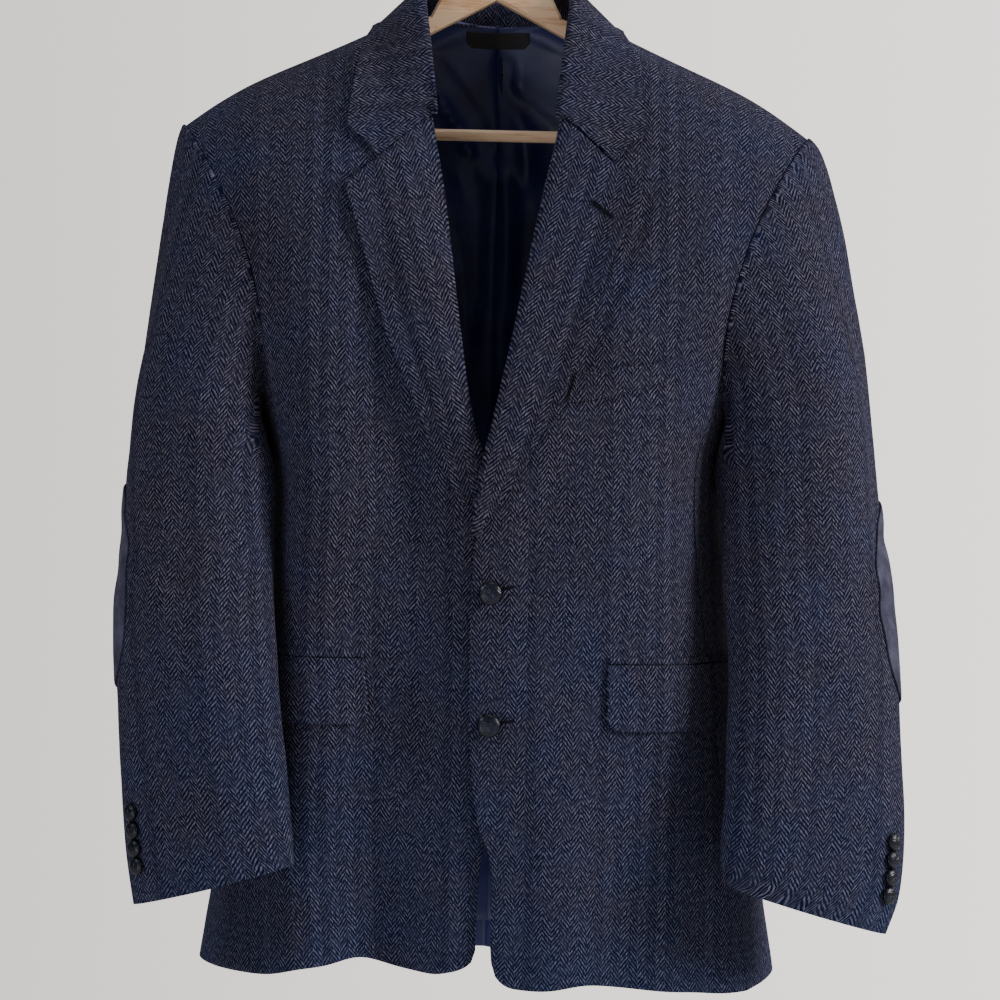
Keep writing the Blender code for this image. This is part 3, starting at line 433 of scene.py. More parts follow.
def drape(point, side):
    """Moves a front point back into the folds that run up from the hem."""
    moved = point.copy()
    for fold in FOLDS[side]:
        grown = max(0.0, (fold.top - point.z) / (fold.top - HEM_Z))
        off = (point.x - fold.x - fold.lean * (point.z - HEM_Z)) / fold.width
        moved.y += fold.depth * grown ** 0.8 * math.exp(-off * off)
    return moved


def hem_rise(x, side):
    """How far the hem lifts or dips at this own-side distance."""
    return sum(wave.height * math.exp(-((x - wave.x) / wave.width) ** 2)
               for wave in HEM_WAVES[side])


def creased(point, side, rear):
    """Presses the listed creases into a torso point. Rear runs from 0, front, to 1, back."""
    calm = min(max((NECK.z - 0.040 - point.z) / 0.06, 0.0), 1.0)
    depth = pressed(FRONT_CREASES[side], point.x, point.z) * (1.0 - rear)
    depth += pressed(BACK_CREASES[side], point.x, point.z) * rear
    out = Vector((point.x / BODY_WIDE ** 2, point.y / BODY_DEEP ** 2, 0.0)).normalized()
    return point + out * calm * (handled(placed(point, side)) - depth)


def shoulder_rise(across):
    """How far the padding lifts the shoulder seam, from the neck at 0 to the tip at 1."""
    return SHOULDER_RISE * math.sin(math.pi * across ** 2.2)


def front_point(side, across, up):
    """The front panel: across from its edge to the side seam, up from the hem to the shoulder.

    Up runs 0 to 1 below the armhole's notch and 1 to 2 above it.
    """
    notch = armhole(FRONT_NOTCH, -1)
    if up <= 1.0:
        z = HEM_Z + (notch.z - HEM_Z) * up
        start, seam = front_edge(z, side), read(FRONT_SEAM, z)
        end, arrive = Vector((seam.x, seam.y, z)), seam.turn
    else:
        part = up - 1.0
        z = NECK.z + (notch.z - NECK.z) * (1.0 - part) ** 1.5
        start = front_edge(z, side)
        degrees = FRONT_NOTCH * (1.0 - part)
        end, arrive = armhole(degrees, -1), 60.0 * (degrees / FRONT_NOTCH) ** 1.2
    point = bow(start, end, 0.0, arrive, across)
    if side == "right":
        point.y += UNDER_DROP * (1.0 - across) ** 3 * min(1.0, (2.0 - up) * 1.5)
    if up < 1.0:
        corner = max(0.0, 1.0 - (point.x - start.x) / CORNER)
        lift = hem_rise(point.x, side) + CORNER * (1.0 - math.sqrt(1.0 - corner * corner))
        point.z += lift * (1.0 - up) ** 4
    else:
        point.z += shoulder_rise(across) * (up - 1.0) ** 2
    return creased(drape(point, side), side, 0.0)


def back_seam(z, side):
    """The back panel's side seam, spread a little at the waist where the cloth hangs loose."""
    row = read(BACK_SEAM, z)
    reach = (z - WAIST_Z) / (WAIST_ABOVE if z > WAIST_Z else WAIST_BELOW)
    spread = math.cos(math.pi / 2 * min(abs(reach), 1.0)) ** 1.8
    return row._replace(x=row.x + BACK_SPREAD[side] * spread)


def side_point(side, across, up):
    """The side body, from the front panel's seam round to the back's, up to the armhole."""
    low, high = FRONT_NOTCH, 360.0 - BACK_NOTCH
    degrees = low + (high - low) * across
    top = armhole(degrees, -1) if degrees <= 180 else armhole(360.0 - degrees, 1)

    def section(z):
        front, back = read(FRONT_SEAM, z), back_seam(z, side)
        start, end = Vector((front.x, front.y, z)), Vector((back.x, back.y, z))
        return bow(start, end, front.turn, back.turn, across)

    z = HEM_Z + (top.z - HEM_Z) * up
    point = section(z) + (top - section(top.z)) * up ** 4
    point.z += hem_rise(read(FRONT_SEAM, z).x, side) * (1.0 - across) ** 2 * (1.0 - up) ** 4
    return creased(drape(point, side) if across < 0.01 else point, side, across)


def back_point(side, across, up):
    """The back panel: across from the centre seam, up from the hem to the shoulder seam."""
    notch = armhole(BACK_NOTCH, 1)
    if up <= 1.0:
        z = HEM_Z + (notch.z - HEM_Z) * up
        seam = back_seam(z, side)
        start, end = Vector((0.0, read(CENTRE_BACK, z).y, z)), Vector((seam.x, seam.y, z))
        arrive = seam.turn
    else:
        part = up - 1.0
        climb = min(part / 0.75, 1.0)
        round_neck = max(part - 0.75, 0.0) / 0.25 * math.pi / 2
        z = NAPE.z + (notch.z - NAPE.z) * (1.0 - climb) ** 1.3
        start = Vector((NECK.x * math.sin(round_neck), read(CENTRE_BACK, z).y, z))
        start.y -= (NAPE.y - NECK.y) * (1.0 - math.cos(round_neck))
        degrees = BACK_NOTCH * (1.0 - part)
        end, arrive = armhole(degrees, 1), 180.0 - 63.0 * (degrees / BACK_NOTCH) ** 1.2
    point = bow(start, end, 0.0, arrive - 180.0, across)
    point.z += shoulder_rise(across) * max(0.0, up - 1.0) ** 2
    return creased(point, side, 1.0)


def tube_point(side, down, degrees):
    """A point round the sleeve below its crown, in the frame's own x."""
    row = read(SLEEVE[side], down)
    half = (row.x_out - row.x_in) / 2
    turn = math.radians(row.turn)
    wide = math.sqrt(half ** 2 - (row.depth * math.sin(turn)) ** 2) / math.cos(turn)
    across = wide * math.cos(math.radians(degrees))
    forward = row.depth * math.sin(math.radians(degrees))
    x = across * math.cos(turn) + forward * math.sin(turn)
    return Vector((
        SIDES[side] * (row.x_in + half + x),
        row.y + across * math.sin(turn) - forward * math.cos(turn),
        SLEEVE_TOP_Z - down + row.rise * (1.0 - x / half) / 2,
    ))


def sleeve_form(side, along, degrees):
    """A point of the smooth sleeve, along from the armhole at 0 to the cuff at 1."""
    longest = SLEEVE[side][-1].down
    if along >= CROWN_PART:
        down = (along - CROWN_PART) / (1.0 - CROWN_PART) * longest
        return tube_point(side, down, degrees)
    degrees %= 360.0
    turned = degrees - TWIST * math.sin(math.radians(degrees / 2)) ** 2
    turned = (turned + 180.0) % 360.0 - 180.0
    start = placed(armhole(abs(turned), -1 if turned > 0 else 1), side)
    end = tube_point(side, 0.0, degrees)
    crown = math.cos(math.radians(turned / 2)) ** 2
    start.x += SIDES[side] * 0.6 * SLEEVE_CLOTH * (1.0 - crown)
    down = Vector((0.0, 0.0, -1.0)) * (end - start).length
    leaving = Vector((SIDES[side], 0.0, -0.25)) * CROWN_ROLL[side] * (0.35 + crown)
    leaving += down * 0.35 * (1.0 - crown)
    slope = tube_point(side, 0.02, degrees) - end
    return hermite(start, end, leaving, slope.normalized() * down.length * 0.9,
                   along / CROWN_PART)


def sleeve_point(side, along, degrees):
    """A point of the worn sleeve, with its creases pressed in towards its middle."""
    point = sleeve_form(side, along, degrees)
    facing = point - (sleeve_form(side, along, degrees + 180.0) + point) / 2
    facing = Vector((facing.x, facing.y, 0.0)).normalized()
    settled = min(along / 0.12, 1.0)
    angle = (degrees + 180.0) % 360.0 - 180.0
    depth = pressed(SLEEVE_CREASES[side], math.radians(angle) * SLEEVE_RADIUS,
                    along * SLEEVE_LONG)
    return point + facing * settled * (handled(point) - depth)


def sleeve_seam(along, which):
    return getattr(read(SLEEVE_SEAMS, along), which)


# --- making meshes -------------------------------------------------------------------
def grain(rows, anchor=0, starts=None):
    """Where each point lies on the flat cloth: across its columns and along them, in metres."""
    flat = []
    for k, row in enumerate(rows):
        run = [0.0]
        for here, after in zip(row, row[1:]):
            run.append(run[-1] + math.hypot(after.x - here.x, after.y - here.y))
        first = starts[k] if starts else 0.0
        flat.append([[first + reach - run[anchor], row[j].z] for j, reach in enumerate(run)])
    for k in range(1, len(rows)):
        sign = 1.0 if rows[k][anchor].z > rows[k - 1][anchor].z else -1.0
        for j, (before, spot) in enumerate(zip(flat[k - 1], flat[k])):
            step = (rows[k][j] - rows[k - 1][j]).length_squared - (spot[0] - before[0]) ** 2
            spot[1] = before[1] + sign * math.sqrt(max(step, 0.0))
    return flat


def grain_along(rows, line):
    """Grain for cloth that runs round a curve: along the curve, then away from it either way.

    Each point takes the place of the nearest point of the curve, which runs on straight past
    both ends.
    """
    ends = (line[0] - line[1]).normalized() * 0.08, (line[-1] - line[-2]).normalized() * 0.08
    line = [line[0] + ends[0], *line, line[-1] + ends[1]]
    run = [0.0]
    for here, after in zip(line, line[1:]):
        run.append(run[-1] + (after - here).length)

    def place(point):
        best = (1.0, 0.0)
        for reach, here, after in zip(run, line, line[1:]):
            way = after - here
            part = min(max((point - here).dot(way) / way.length_squared, 0.0), 1.0)
            best = min(best, ((point - here - way * part).length, reach + way.length * part))
        return best

    return [[place(point) for point in row] for row in rows]


def sunk(rows, left=0.0, right=0.0, bottom=0.0, top=0.0):
    """The rows with their edges dipped along the seams that join them to other panels."""
    across, along = len(rows[0]), len(rows)

    def reach(line):
        run = [0.0]
        for here, after in zip(line, line[1:]):
            run.append(run[-1] + (after - here).length)
        return run

    runs = [reach(row) for row in rows]
    climbs = [reach(column) for column in zip(*rows)]
    shaped = []
    for k, row in enumerate(rows):
        line = []
        for j, point in enumerate(row):
            to_side = rows[k][min(j + 1, across - 1)] - rows[k][max(j - 1, 0)]
            to_top = rows[min(k + 1, along - 1)][j] - rows[max(k - 1, 0)][j]
            normal = to_side.cross(to_top).normalized()
            rise = 0.0
            for sink, distance in (
                (left, runs[k][j]), (right, runs[k][-1] - runs[k][j]),
                (bottom, climbs[j][k]), (top, climbs[j][-1] - climbs[j][k]),
            ):
                rise += seam_profile(distance, sink) if sink else 0.0
            line.append(point + normal * rise)
        shaped.append(line)
    return shaped


def sunk_mirrored(rows, left=0.0, right=0.0, bottom=0.0, top=0.0):
    """Dips the seams of rows whose points run the other way round."""
    shaped = sunk([row[::-1] for row in rows], left=right, right=left, bottom=bottom, top=top)
    return [row[::-1] for row in shaped]


def turned_under(rows, flat, inwards, edge, wall=0.0):
    """The rows and their grain with a seam allowance, which runs on under the next panel.

    The edge is "first" or "last" along each row, or the "bottom" row. The wall is that of a
    cloth laid outside its rows, which goes that much deeper.
    """
    if edge == "bottom":
        rows, flat = turned_under(list(zip(*rows)), list(zip(*flat)), inwards, "first", wall)
        return [list(row) for row in zip(*rows)], [list(row) for row in zip(*flat)]
    longer, wider = [], []
    for row, places in zip(rows, flat):
        row, places = list(row), [Vector((*place, 0.0)) for place in places]
        if edge == "last":
            row, places = row[::-1], places[::-1]
        out, on = (row[0] - row[2]).normalized(), (places[0] - places[2]).normalized()
        within = inwards(row[0])
        for reach, deep in (TUCK_NEAR, TUCK_FAR):
            row.insert(0, row[0] + out * reach + within * (deep + wall))
            places.insert(0, places[0] + on * (reach + deep + wall))
        if edge == "last":
            row, places = row[::-1], places[::-1]
        longer.append(row)
        wider.append([(place.x, place.y) for place in places])
    return longer, wider


def trunk_inwards(point):
    """The horizontal way in from the trunk's surface."""
    return Vector((-point.x / BODY_WIDE ** 2, -point.y / BODY_DEEP ** 2, 0.0)).normalized()


def shell(name, rows, flat, outside, wall, slots, outwards=False, rounded=EDGE_ROUND):
    """A piece of cloth through rows of points: its grain, its wall and its soft edges."""
    form = bmesh.new()
    grain_map = form.loops.layers.uv.new("Weave")
    lines = [[form.verts.new(point) for point in row] for row in rows]
    places = {vertex: flat[k][j] for k, line in enumerate(lines) for j, vertex in enumerate(line)}
    for lower, upper in zip(lines, lines[1:]):
        for k in range(len(lower) - 1):
            face = form.faces.new((lower[k], lower[k + 1], upper[k + 1], upper[k]))
            for loop in face.loops:
                loop[grain_map].uv = places[loop.vert]
    form.normal_update()
    if sum(face.normal.dot(outside) for face in form.faces) < 0:
        bmesh.ops.reverse_faces(form, faces=form.faces)
    mesh = bpy.data.meshes.new(name)
    form.to_mesh(mesh)
    form.free()
    mesh.shade_smooth()
    for finish in slots:
        mesh.materials.append(finish)
    piece = bpy.data.objects.new(name, mesh)
    bpy.context.scene.collection.objects.link(piece)
    solid = piece.modifiers.new("Wall", "SOLIDIFY")
    solid.thickness, solid.offset = wall, (1.0 if outwards else -1.0)
    solid.material_offset = len(slots) - 1
    soften = piece.modifiers.new("Soft edges", "BEVEL")
    soften.width, soften.segments = rounded, 2
    soften.limit_method, soften.angle_limit = "ANGLE", math.radians(50.0)
    return piece


def hang(piece, flat, node=None):
    """Ties a piece of cloth to the jacket and hides the imported solid it stands for. It works out
    the size and area of the cut, but keeps neither.
    """
    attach(piece, "root")
    if node:
        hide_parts(node)
    across = [spot[0] for row in flat for spot in row]
    along = [spot[1] for row in flat for spot in row]
    size = (max(across) - min(across), max(along) - min(along))
    area = sum(face.area for face in piece.data.polygons)
    area = min(max(area, 0.31 * size[0] * size[1]), size[0] * size[1])


def surface(*sheets):
    """One tree over several sheets of rows, to lay other pieces on."""
    points, faces = [], []
    for rows in sheets:
        base, across = len(points), len(rows[0])
        points += [point for row in rows for point in row]
        for k in range(len(rows) - 1):
            for j in range(across - 1):
                at = base + k * across + j
                faces.append((at, at + 1, at + across + 1, at + across))
    return BVHTree.FromPolygons(points, faces)


def outwards_of(normal, way):
    return normal if normal.dot(way) > 0 else -normal


def on_front(x, z, tree, lift):
    """The point of the fronts at this x and z, lifted off them."""
    where, normal, _, _ = tree.ray_cast(Vector((x, -1.0, z)), Vector((0.0, 1.0, 0.0)))
    return where + outwards_of(normal, Vector((0.0, -1.0, 0.0))) * lift


def lifted(point, tree, lift, way):
    """The point, moved out until it clears a surface by lift."""
    where, normal, _, _ = tree.find_nearest(point)
    normal = outwards_of(normal, way)
    short = lift - (point - where).dot(normal)
    return point + normal * short if short > 0 else point


def lapel_lift(along, part):
    """How far a lapel stands off the front, from its roll at 0 to its edge at 1.

    Part runs from the break at 0 to the gorge at 1.
    """
    soft = LAPEL_SWELL * min(1.0, part * 2.5)
    edge = LAPEL_SPRING * min(1.0, part * 2.0) * max(0.0, along - 0.72) / 0.28
    return CLEAR + soft * math.sin(math.pi * min(max(along, 0.0) * 1.4, 1.0)) ** 0.7 + edge


def settled(point, tree, way, wanted, free):
    """The point at a wanted height over a surface, or at its own height where it is free."""
    where, normal, _, _ = tree.find_nearest(point)
    normal = outwards_of(normal, way)
    own = (point - where).dot(normal)
    height = wanted + (max(own, 4 * CLEAR) - wanted) * free
    return point + normal * (height - own)


def smoothed(line, count):
    """A smooth run of points through the given ones."""
    fine = []
    for part in steps(count, 0.0, len(line) - 1.0):
        k = min(int(part), len(line) - 2)
        before, after = line[max(k - 1, 0)], line[min(k + 2, len(line) - 1)]
        leaving = (line[k + 1] - before) * (0.5 if k else 1.0)
        arriving = (after - line[k]) * (0.5 if k + 2 < len(line) else 1.0)
        fine.append(hermite(line[k], line[k + 1], leaving, arriving, part - k))
    return fine


# --- the panels ----------------------------------------------------------------------
@lru_cache(maxsize=None)
def torso_rows(panel, side):
    """The rows of one torso panel, from the hem up."""
    if panel == "front":
        across = seamed(66, first=False)
        up = seamed(66, last=False) + seamed(58, 1.0, 2.0, first=False)[1:]
        point = front_point
    elif panel == "side":
        across, up, point = seamed(30), seamed(62), side_point
    else:
        across = seamed(56)
        up = seamed(62, last=False) + seamed(64, 1.0, 2.0, first=False)[1:]
        point = back_point
    return [[placed(point(side, a, u), side) for a in across] for u in up]


def front_tree(side):
    return surface(torso_rows("front", side))


@lru_cache(maxsize=None)
def lapel_rows(side):
    """The rows of one lapel, round its roll and out to its edge, from the break up."""
    radius, sign = CLOTH / 2 + 2 * CLEAR, SIDES[side]
    layer, front = LAYER[side], front_tree(side)
    rows = []
    for part in steps(84):
        z_roll = BREAK_Z + (GORGE.z - 0.0003 - BREAK_Z) * part
        z_edge = BREAK_Z + (LAPEL_TIP_Z - BREAK_Z) * part
        edge = placed(front_edge(z_roll, side), side)
        inner = on_front(edge.x + sign * 0.0015, z_roll, front, 0.0)
        _, normal, _, _ = front.find_nearest(inner)
        normal = outwards_of(normal, Vector((0.0, -1.0, 0.0)))
        out = Vector((getattr(read(LAPEL_EDGE, z_edge), layer), 0.0, z_edge))
        out.x = sign * out.x - SWAY * z_edge
        towards = Vector((out.x - inner.x, 0.0, out.z - inner.z))
        spread = max(towards.length, 0.004)
        towards = towards.normalized() if towards.length > 0.001 else Vector((sign, 0, 0))
        ahead = placed(front_edge(z_roll + 0.004, side), side) - edge
        tangent = normal.cross(ahead).normalized()
        tangent *= 1.0 if tangent.x * sign > 0 else -1.0
        core = inner - normal * CLOTH / 2
        row = [core + (normal * -math.cos(a) - tangent * math.sin(a)) * radius
               for a in steps(7, 0.25 * math.pi, 0.80 * math.pi)]
        for along in [0.03 + 0.97 * k for k in steps(30)]:
            at = inner + towards * spread * along
            row.append(on_front(at.x, at.z, front, lapel_lift(along, part)))
        rows.append(row)
    return rows


def girth_point(side, z, distance):
    """The point at this distance round the body from the centre front, at one height."""
    up = (z - HEM_Z) / (armhole(FRONT_NOTCH, -1).z - HEM_Z)
    line = [front_point(side, a, up) for a in steps(30)]
    line = [Vector((p.x, p.y, z)) for p in line if p.x > 0.0]
    line += [Vector((p.x, p.y, z)) for p in (side_point(side, a, up) for a in steps(10)[1:])]
    walked = line[0].x
    for here, after in zip(line, line[1:]):
        step = (after - here).length
        if walked + step >= distance:
            return here + (after - here) * ((distance - walked) / step)
        walked += step
    return line[-1]


def collar_section(at, side):
    """The collar on one side: up its stand, over the fold and down its leaf."""
    leaf = read(COLLAR, at)
    stand = (leaf.fold - leaf.seam).length
    inwards = Vector((-1.0, 0.0, 0.0))
    if at > 0.3:
        inwards = Vector((-leaf.fold.x, -leaf.fold.y, 0.0)).normalized()
    row = [leaf.seam]
    row += [leaf.seam + (leaf.fold - leaf.seam) * part + inwards * 0.001 for part in (0.35, 0.7)]
    row.append(leaf.fold + Vector((0.0, 0.0, min(stand, 0.003) * 0.6)))
    sag = NOTCH_DROP[side] * max(0.0, 1.0 - at / 0.3) ** 2
    for part in (0.07, 0.2, 0.34, 0.48, 0.62, 0.81, 1.0):
        point = leaf.fold + (leaf.edge - leaf.fold) * part
        point -= inwards * min(stand, 0.012) * math.sin(math.pi * part) * 0.2
        point.z += min(stand, 0.006) * (1.0 - part) ** 2
        tent = part / NOTCH if part <= NOTCH else (1.0 - part) / (1.0 - NOTCH)
        point.z -= sag * tent
        row.append(point)
    return row


# --- materials -----------------------------------------------------------------------
def linear(colour):
    """An sRGB hex colour as linear red, green, blue."""
    parts = [int(colour[k:k + 2], 16) / 255 for k in (1, 3, 5)]
    return [p / 12.92 if p <= 0.04045 else ((p + 0.055) / 1.055) ** 2.4 for p in parts]


def add(tree, kind, sockets=None, ramp=None, **settings):
    """One node with its settings, and a value or another node's output into each socket."""
    made = tree.nodes.new(kind)
    for name, value in settings.items():
        setattr(made, name, value)
    for socket, value in (sockets or {}).items():
        if isinstance(value, bpy.types.Node):
            value = value.outputs[0]
        if isinstance(value, bpy.types.NodeSocket):
            tree.links.new(value, made.inputs[socket])
        else:
            made.inputs[socket].default_value = value
    if ramp:
        stops = made.color_ramp.elements
        while len(stops) < len(ramp):
            stops.new(1.0)
        for stop, (place, colour) in zip(stops, ramp):
            stop.position, stop.color = place, (*colour, 1.0)
    return made


def cord(name, strands, thick, looks, fine=2):
    """Thread or wire laid along each of several runs of points."""
    curve = bpy.data.curves.new(name, "CURVE")
    curve.dimensions, curve.bevel_depth, curve.bevel_resolution = "3D", thick, fine
    curve.use_fill_caps = True
    for strand in strands:
        line = curve.splines.new("POLY")
        line.points.add(len(strand) - 1)
        for spot, point in zip(line.points, strand):
            spot.co = (*point, 1.0)
        line.use_smooth = True
    curve.materials.append(looks)
    thread = bpy.data.objects.new(name, curve)
    bpy.context.scene.collection.objects.link(thread)
    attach(thread, "root")
    return thread


def finish(name):
    """An empty material with its shader, ready for nodes."""
    made = bpy.data.materials.new(name)
    made.use_nodes = True
    return made.node_tree, made.node_tree.nodes["Principled BSDF"], made


def tweed_material(looks):
    """Herringbone tweed: carded wool yarns woven in a twill that turns back on itself.

    The eye gets pale lavender floats on a navy ground in upright columns, patches where the
    dye leans to brown or to blue, and a matt nap that lifts a little light at its edges.
    """
    tree, shader, made = finish("Herringbone tweed")
    place = add(tree, "ShaderNodeUVMap", uv_map="Weave")
    solid = add(tree, "ShaderNodeTexCoord").outputs["Object"]
    # The columns wander by about half a millimetre, as hand-fed warps do
    drift = add(tree, "ShaderNodeTexNoise", {"Vector": place, "Scale": 75.0, "Detail": 1.0})
    drift = add(tree, "ShaderNodeVectorMath", {0: drift.outputs["Color"], 1: (0.5, 0.5, 0.5)},
                operation="SUBTRACT")
    drift = add(tree, "ShaderNodeVectorMath", {0: drift, "Scale": 0.0022}, operation="SCALE")
    moved = add(tree, "ShaderNodeVectorMath", {0: place, 1: drift}, operation="ADD")
    spot = add(tree, "ShaderNodeSeparateXYZ", {0: moved})
    column = looks.column
    turn = add(tree, "ShaderNodeMath", {0: spot.outputs["X"], 1: column}, operation="PINGPONG")
    climb = add(tree, "ShaderNodeMath", {0: turn, 1: math.tan(math.radians(looks.slope_angle))},
                operation="MULTIPLY")
    height = add(tree, "ShaderNodeMath", {0: spot.outputs["Y"], 1: climb}, operation="ADD")
    line = add(tree, "ShaderNodeMath", {0: height, 1: 1.0 / looks.line_pitch},
               operation="MULTIPLY")
    # Alternate columns start about a third of a line apart, which breaks each chevron's point
    number = add(tree, "ShaderNodeMath", {0: spot.outputs["X"], 1: 1.0 / column},
                 operation="MULTIPLY")
    number = add(tree, "ShaderNodeMath", {0: number}, operation="FLOOR")
    odd = add(tree, "ShaderNodeMath", {0: number, 1: 2.0}, operation="FLOORED_MODULO")
    line = add(tree, "ShaderNodeMath", {0: odd, 1: 0.36, 2: line}, operation="MULTIPLY_ADD")
    askew = add(tree, "ShaderNodeTexWhiteNoise", {"W": number}, noise_dimensions="1D")
    line = add(tree, "ShaderNodeMath", {0: askew, 1: 0.22, 2: line}, operation="MULTIPLY_ADD")
    angle = add(tree, "ShaderNodeMath", {0: line, 1: 2.0 * math.pi}, operation="MULTIPLY")
    wave = add(tree, "ShaderNodeMath", {0: angle}, operation="SINE")
    # One float is about 1.1 mm across: each takes its own brightness
    fibre = add(tree, "ShaderNodeMath", {0: spot.outputs["X"], 1: 1.0 / 0.0011},
                operation="MULTIPLY")
    cell = add(tree, "ShaderNodeCombineXYZ", {0: fibre, 1: line, 2: number})
    bead = add(tree, "ShaderNodeTexNoise", {"Vector": cell, "Scale": 1.0, "Detail": 1.5})
    uneven = add(tree, "ShaderNodeMath", {0: bead, 1: 3.0, 2: -1.5}, operation="MULTIPLY_ADD")
    wave = add(tree, "ShaderNodeMath", {0: wave, 1: uneven}, operation="ADD")
    float_yarn = add(tree, "ShaderNodeMapRange", {0: wave, 1: -0.45, 2: 1.05},
                     interpolation_type="SMOOTHSTEP")
    # Rubbed places, where the two yarns have felted together and the lines are faint
    rubbed = add(tree, "ShaderNodeTexNoise", {"Vector": place, "Scale": 60.0, "Detail": 2.0})
    rubbed = add(tree, "ShaderNodeMapRange", {0: rubbed, 1: 0.42, 2: 0.74, 3: 0.0, 4: 0.55})
    yarn = add(tree, "ShaderNodeMix", {"Factor": rubbed, "A": float_yarn, "B": 0.36})
    # The dye leans to brown or to blue over a few centimetres
    tide = add(tree, "ShaderNodeTexNoise", {"Vector": solid, "Scale": 14.0, "Detail": 6.0,
                                            "Roughness": 0.75})
    low = add(tree, "ShaderNodeSeparateXYZ", {0: solid}).outputs["Z"]
    low = add(tree, "ShaderNodeMapRange", {0: low, 1: -0.60, 2: -0.84, 3: 0.0, 4: 0.20})
    tide = add(tree, "ShaderNodeMath", {0: tide, 1: low}, operation="ADD")
    pale = add(tree, "ShaderNodeValToRGB", {0: tide}, ramp=(
        (0.20, looks.warm_yarn), (0.50, looks.pale_yarn), (0.82, looks.blue_yarn)))
    lit = add(tree, "ShaderNodeMapRange", {0: bead, 1: 0.30, 2: 0.74, 3: 0.30, 4: 2.2})
    # Floats that lean towards the light look paler, so every other column does
    band = add(tree, "ShaderNodeMath", {0: odd, 1: 0.10, 2: 0.83}, operation="MULTIPLY_ADD")
    band = add(tree, "ShaderNodeMath", {0: askew, 1: 0.24, 2: band}, operation="MULTIPLY_ADD")
    lit = add(tree, "ShaderNodeMath", {0: lit, 1: band}, operation="MULTIPLY")
    pale = add(tree, "ShaderNodeVectorMath", {0: pale, "Scale": lit}, operation="SCALE")
    ground = add(tree, "ShaderNodeValToRGB", {0: tide}, ramp=(
        (0.40, looks.ground), (0.75, linear("#071236"))))
    cloth = add(tree, "ShaderNodeMix", {"Factor": yarn, "A": ground, "B": pale},
                data_type="RGBA")
    tree.links.new(cloth.outputs[2], shader.inputs["Base Color"])
    nap = add(tree, "ShaderNodeTexNoise", {"Vector": place, "Scale": 1400.0, "Detail": 2.0})
    relief = add(tree, "ShaderNodeMath", {0: nap, 1: 0.35, 2: yarn}, operation="MULTIPLY_ADD")
    bump = add(tree, "ShaderNodeBump", {"Height": relief, "Strength": 0.55, "Distance": 0.0006})
    tree.links.new(bump.outputs[0], shader.inputs["Normal"])
    shader.inputs["Roughness"].default_value = 0.92
    shader.inputs["Specular IOR Level"].default_value = 0.12
    shader.inputs["Sheen Weight"].default_value = 0.05
    shader.inputs["Sheen Roughness"].default_value = 0.45
    shader.inputs["Sheen Tint"].default_value = (*linear("#9a9cb4"), 1.0)
    return made


def satin_material(looks):
    """Lining satin: filament yarn in long floats. A soft, streaky gloss over near-black navy."""
    tree, shader, made = finish("Lining satin")
    place = add(tree, "ShaderNodeUVMap", uv_map="Weave")
    # Filament lines about 0.4 mm apart, drawn coarser than the real weave so that they show
    scaled = add(tree, "ShaderNodeVectorMath", {0: place, 1: (2400.0, 90.0, 1.0)},
                 operation="MULTIPLY")
    line = add(tree, "ShaderNodeTexNoise", {"Vector": scaled, "Scale": 1.0, "Detail": 2.0})
    cloud = add(tree, "ShaderNodeTexNoise", {"Vector": place, "Scale": 30.0, "Detail": 3.0})
    mixed = add(tree, "ShaderNodeMath", {0: line, 1: 0.35, 2: cloud}, operation="MULTIPLY_ADD")
    colour = add(tree, "ShaderNodeValToRGB", {0: mixed}, ramp=(
        (0.45, linear("#181d4a")), (0.85, looks.lining)))
    tree.links.new(colour.outputs[0], shader.inputs["Base Color"])
    gloss = add(tree, "ShaderNodeMapRange", {0: line, 1: 0.3, 2: 0.7, 3: 0.34, 4: 0.46})
    tree.links.new(gloss.outputs[0], shader.inputs["Roughness"])
    bump = add(tree, "ShaderNodeBump", {"Height": line, "Strength": 0.12, "Distance": 0.0002})
    tree.links.new(bump.outputs[0], shader.inputs["Normal"])
    shader.inputs["Sheen Weight"].default_value = 0.08
    shader.inputs["Sheen Roughness"].default_value = 0.3
    return made


def patch_material(looks):
    """Brushed suedecloth: sheared microfibre. Flat, heathered grey with no gloss at all."""
    tree, shader, made = finish("Brushed suedecloth")
    place = add(tree, "ShaderNodeUVMap", uv_map="Weave")
    grit = add(tree, "ShaderNodeTexNoise", {"Vector": place, "Scale": 900.0, "Detail": 3.0})
    cloud = add(tree, "ShaderNodeTexNoise", {"Vector": place, "Scale": 60.0, "Detail": 3.0})
    mixed = add(tree, "ShaderNodeMath", {0: grit, 1: 0.6, 2: cloud}, operation="MULTIPLY_ADD")
    colour = add(tree, "ShaderNodeValToRGB", {0: mixed}, ramp=(
        (0.55, linear("#30303f")), (0.80, looks.patch), (1.0, linear("#5c5c70"))))
    tree.links.new(colour.outputs[0], shader.inputs["Base Color"])
    bump = add(tree, "ShaderNodeBump", {"Height": grit, "Strength": 0.35, "Distance": 0.0003})
    tree.links.new(bump.outputs[0], shader.inputs["Normal"])
    shader.inputs["Roughness"].default_value = 0.95
    shader.inputs["Specular IOR Level"].default_value = 0.1
    shader.inputs["Sheen Weight"].default_value = 0.06
    shader.inputs["Sheen Roughness"].default_value = 0.5
    return made


